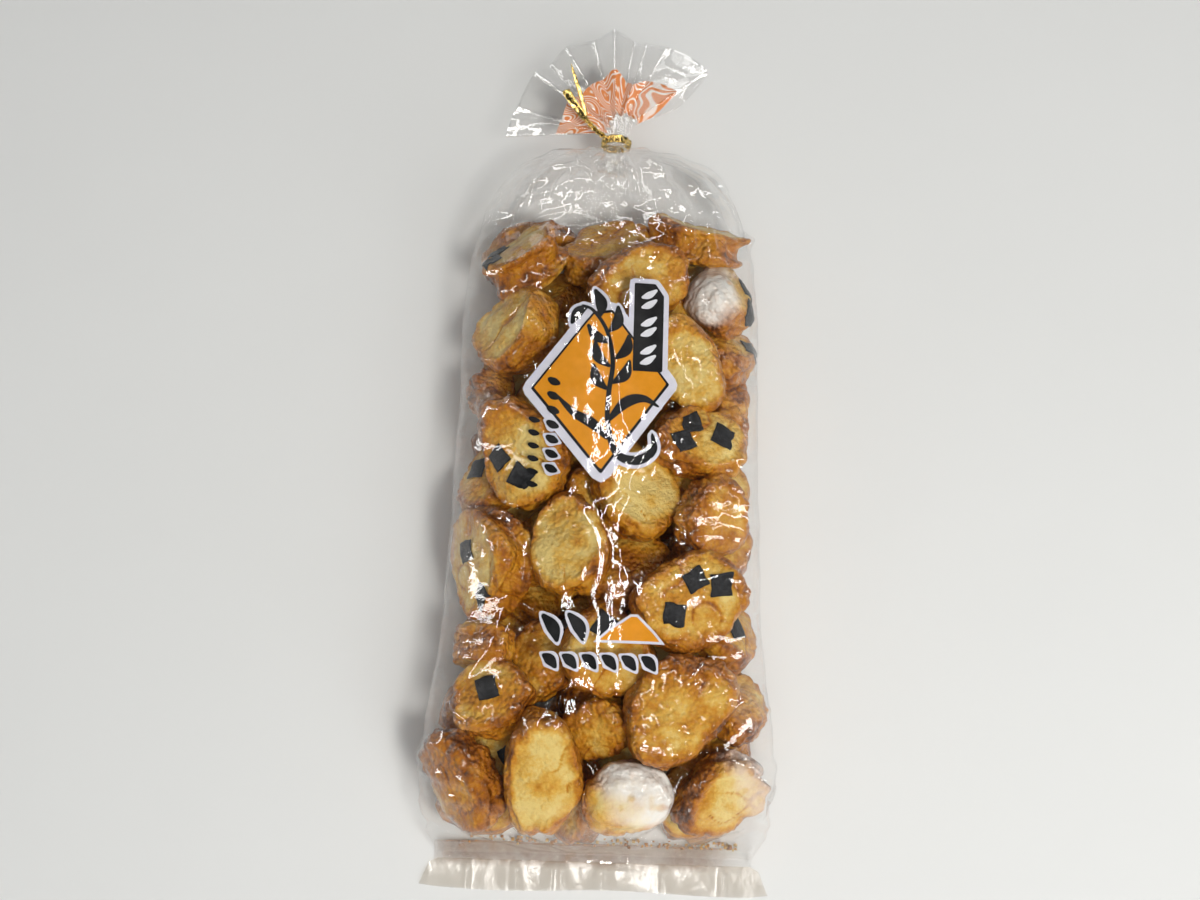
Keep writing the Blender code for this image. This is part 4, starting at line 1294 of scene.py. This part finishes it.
def wound_ends():
    """Two strands wound round one line, then the two tails that part from it."""
    knot = np.array([-3.3, 0, 5.0])
    line = curve_through([knot, knot + [-3.6, 2.2, 1.6], knot + [-7.0, 5.2, 3.0]], 60)
    turn = np.linspace(0, 2 * math.pi * 2.6, 60)
    ahead = np.array([-0.78, 0.55, 0.30])
    side = np.cross(ahead, [0, 0, 1.0]) / np.linalg.norm(np.cross(ahead, [0, 0, 1.0]))
    over = np.cross(side, ahead)
    base = np.array([0, NECK_Y / MM, NECK_HEIGHT / MM])
    strips = []
    for start, seed in ((0, 61), (math.pi, 63)):
        spin = turn + start
        strand = line + 0.42 * (side * np.cos(spin)[:, None] + over * np.sin(spin)[:, None])
        widths, thicknesses = np.full(60, 0.62 * MM), np.full(60, 0.30 * MM)
        strips.append(strip_along((strand + base) * MM, widths, thicknesses, spin, seed))
    end = line[-1]
    long_tail = curve_through([end, end + [-1.8, 7.0, 1.6], end + [-3.6, 12.0, 2.6], end + [-5.8, 18.6, 3.4]], 70)
    share = np.linspace(0, 1, 70)
    widths = np.interp(share, [0, 0.5, 0.75, 1], [1.0, 1.0, 0.7, 0.22]) * MM
    strips.append(strip_along((long_tail + base) * MM, widths, 0.30 * MM * (1 - 0.5 * share), 1.1 - 0.6 * share, 65))
    short_tail = curve_through([end, end + [-3.0, 3.6, 0.4], end + [-6.2, 8.6, 0.0], end + [-7.4, 10.8, -0.4]], 50)
    share = np.linspace(0, 1, 50)
    widths = np.interp(share, [0, 0.6, 1], [1.0, 1.35, 1.75]) * MM
    strips.append(strip_along((short_tail + base) * MM, widths, np.full(50, 0.26 * MM), 0.7 - 0.9 * share, 67))
    return strips


# a warm metal with a sharp shine and fine crinkles, darker in random patches
foil = mottled_finish("gold_foil", 500.0, ((0.15, (0.16, 0.11, 0.03)), (0.6, (0.80, 0.58, 0.20))), (0.08, 0.08),
                      (0.45, 0.0004), Metallic=1.0)
tie = piece_of("foil_tie", mesh_of("foil_tie", [tie_band()] + wound_ends()), foil)

# %% [markdown]
# ## Table and light
#
# The table is plain and pale. Three broad lamps on the right light the bag and give its soft shadow on the left.
# They don't show in the gloss. Tubes, strips, a far window and four small lamps show only there: they make the bright
# streaks and the sharp glints on the film.


# %% Table
def table_finish():
    material, tree, shader = new_material("pale_table")
    mask, _ = mottled(tree, 3.0)
    colour = colour_ramp(tree, mask, ((0.0, (0.765, 0.768, 0.745)), (1.0, (0.805, 0.808, 0.785))))
    fill(shader, Base_Color=colour, Roughness=0.6)
    return material


def add_table():
    corners = np.array([[-3, -3, 0], [3, -3, 0], [3, 3, 0], [-3, 3, 0]], float)
    corners[:, 2] = -0.05 * MM
    table = piece_of("table", mesh_of("table", [(corners, [[0, 1, 2, 3]])]), table_finish())


# %% Lights
BULB = (1.0, 0.98, 0.95)
SPARK = (0.045, 0.045)
LAMPS = (  # name, place in m, size in m, watts, colour, and where it shows
    ("window", (0.37, -0.40, 1.08), (0.24, 0.24), 7.0, (1.0, 0.985, 0.96), "diffuse"),
    ("ceiling", (0.22, -0.72, 1.40), (1.8, 1.8), 11.3, (0.98, 0.99, 1.0), "diffuse"),
    ("wall_light", (0.80, -0.95, 0.90), (0.8, 0.8), 4.3, (0.97, 0.985, 1.0), "diffuse"),
    ("tube_lamp", (0.0, 0.25, 1.10), (0.040, 0.80), 4.2, BULB, "gloss"),
    ("far_tube", (0.05, 1.00, 0.85), (0.90, 0.05), 2.6, BULB, "gloss"),
    ("far_window", (-0.40, 0.85, 0.58), (0.26, 0.26), 0.6, (1.0, 1.0, 0.98), "gloss"),
    ("left_strip", (-1.00, 0.0, 0.36), (0.08, 1.2), 5.5, (1.0, 0.99, 0.97), "gloss"),
    ("right_strip", (1.00, 0.0, 0.36), (0.08, 1.2), 5.5, (1.0, 0.99, 0.97), "gloss"),
    ("spark_lamp_0", (0.50, 0.10, 1.00), SPARK, 0.50, (1.0, 0.98, 0.94), "gloss"),
    ("spark_lamp_1", (0.30, -0.35, 1.05), SPARK, 0.22, (1.0, 0.98, 0.94), "gloss"),
    ("spark_lamp_2", (0.22, 0.75, 0.90), SPARK, 0.35, (1.0, 0.98, 0.94), "gloss"),
    ("spark_lamp_3", (-0.50, 0.45, 0.95), SPARK, 0.30, (1.0, 0.98, 0.94), "gloss"),
)


def add_lamp(name, place, size, watts, colour, seen):
    """A rectangular lamp that faces the bag and shows either in gloss or in diffuse light."""
    lamp = bpy.data.objects.new(name, bpy.data.lights.new(name, "AREA"))
    lamp.data.shape, lamp.data.size, lamp.data.size_y = "RECTANGLE", *size
    lamp.data.energy, lamp.data.color = watts, colour
    bpy.context.scene.collection.objects.link(lamp)
    lamp.location = place
    lamp.rotation_euler = (-Vector(place)).to_track_quat("-Z", "Y").to_euler()
    lamp.visible_glossy, lamp.visible_diffuse = seen == "gloss", seen == "diffuse"


def add_room():
    """A room that is dim overhead and bright towards the walls, so that film seen face on stays clear and film seen
    at a slant shines."""
    world = bpy.data.worlds.new("room")
    world.use_nodes = True
    tree = world.node_tree
    place = tree.nodes.new("ShaderNodeTexCoord").outputs["Generated"]
    height = add_node(tree, "ShaderNodeSeparateXYZ", Vector=place).outputs["Z"]
    low = ((0.0, (0.85, 0.86, 0.88)), (0.2, (0.42, 0.43, 0.45)))
    stops = low + ((0.5, (0.105, 0.107, 0.110)), (0.9, (0.03, 0.03, 0.032)))
    fill(tree.nodes["Background"], Color=colour_ramp(tree, height, stops), Strength=1.0)
    bpy.context.scene.world = world


add_table()
add_room()
for row in LAMPS:
    add_lamp(*row)
bpy.context.scene.view_settings.view_transform = "Standard"
print("lit by", len(LAMPS), "lamps")

# %% [markdown]
# ## Fasten everything to the bag
#
# The bag is one rigid body, so every piece rides on it. The film stands for the bag's solid and the foil tie for the
# tie's.

# %% Fasten and finish
inked = label_pieces + [band]
for thing in cracker_pieces + inked + [seaweed, film, folds, gathers, fin, seal, crumb_piece, tie]:
    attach(thing, "root")
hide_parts("bag")
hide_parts("twist_tie")
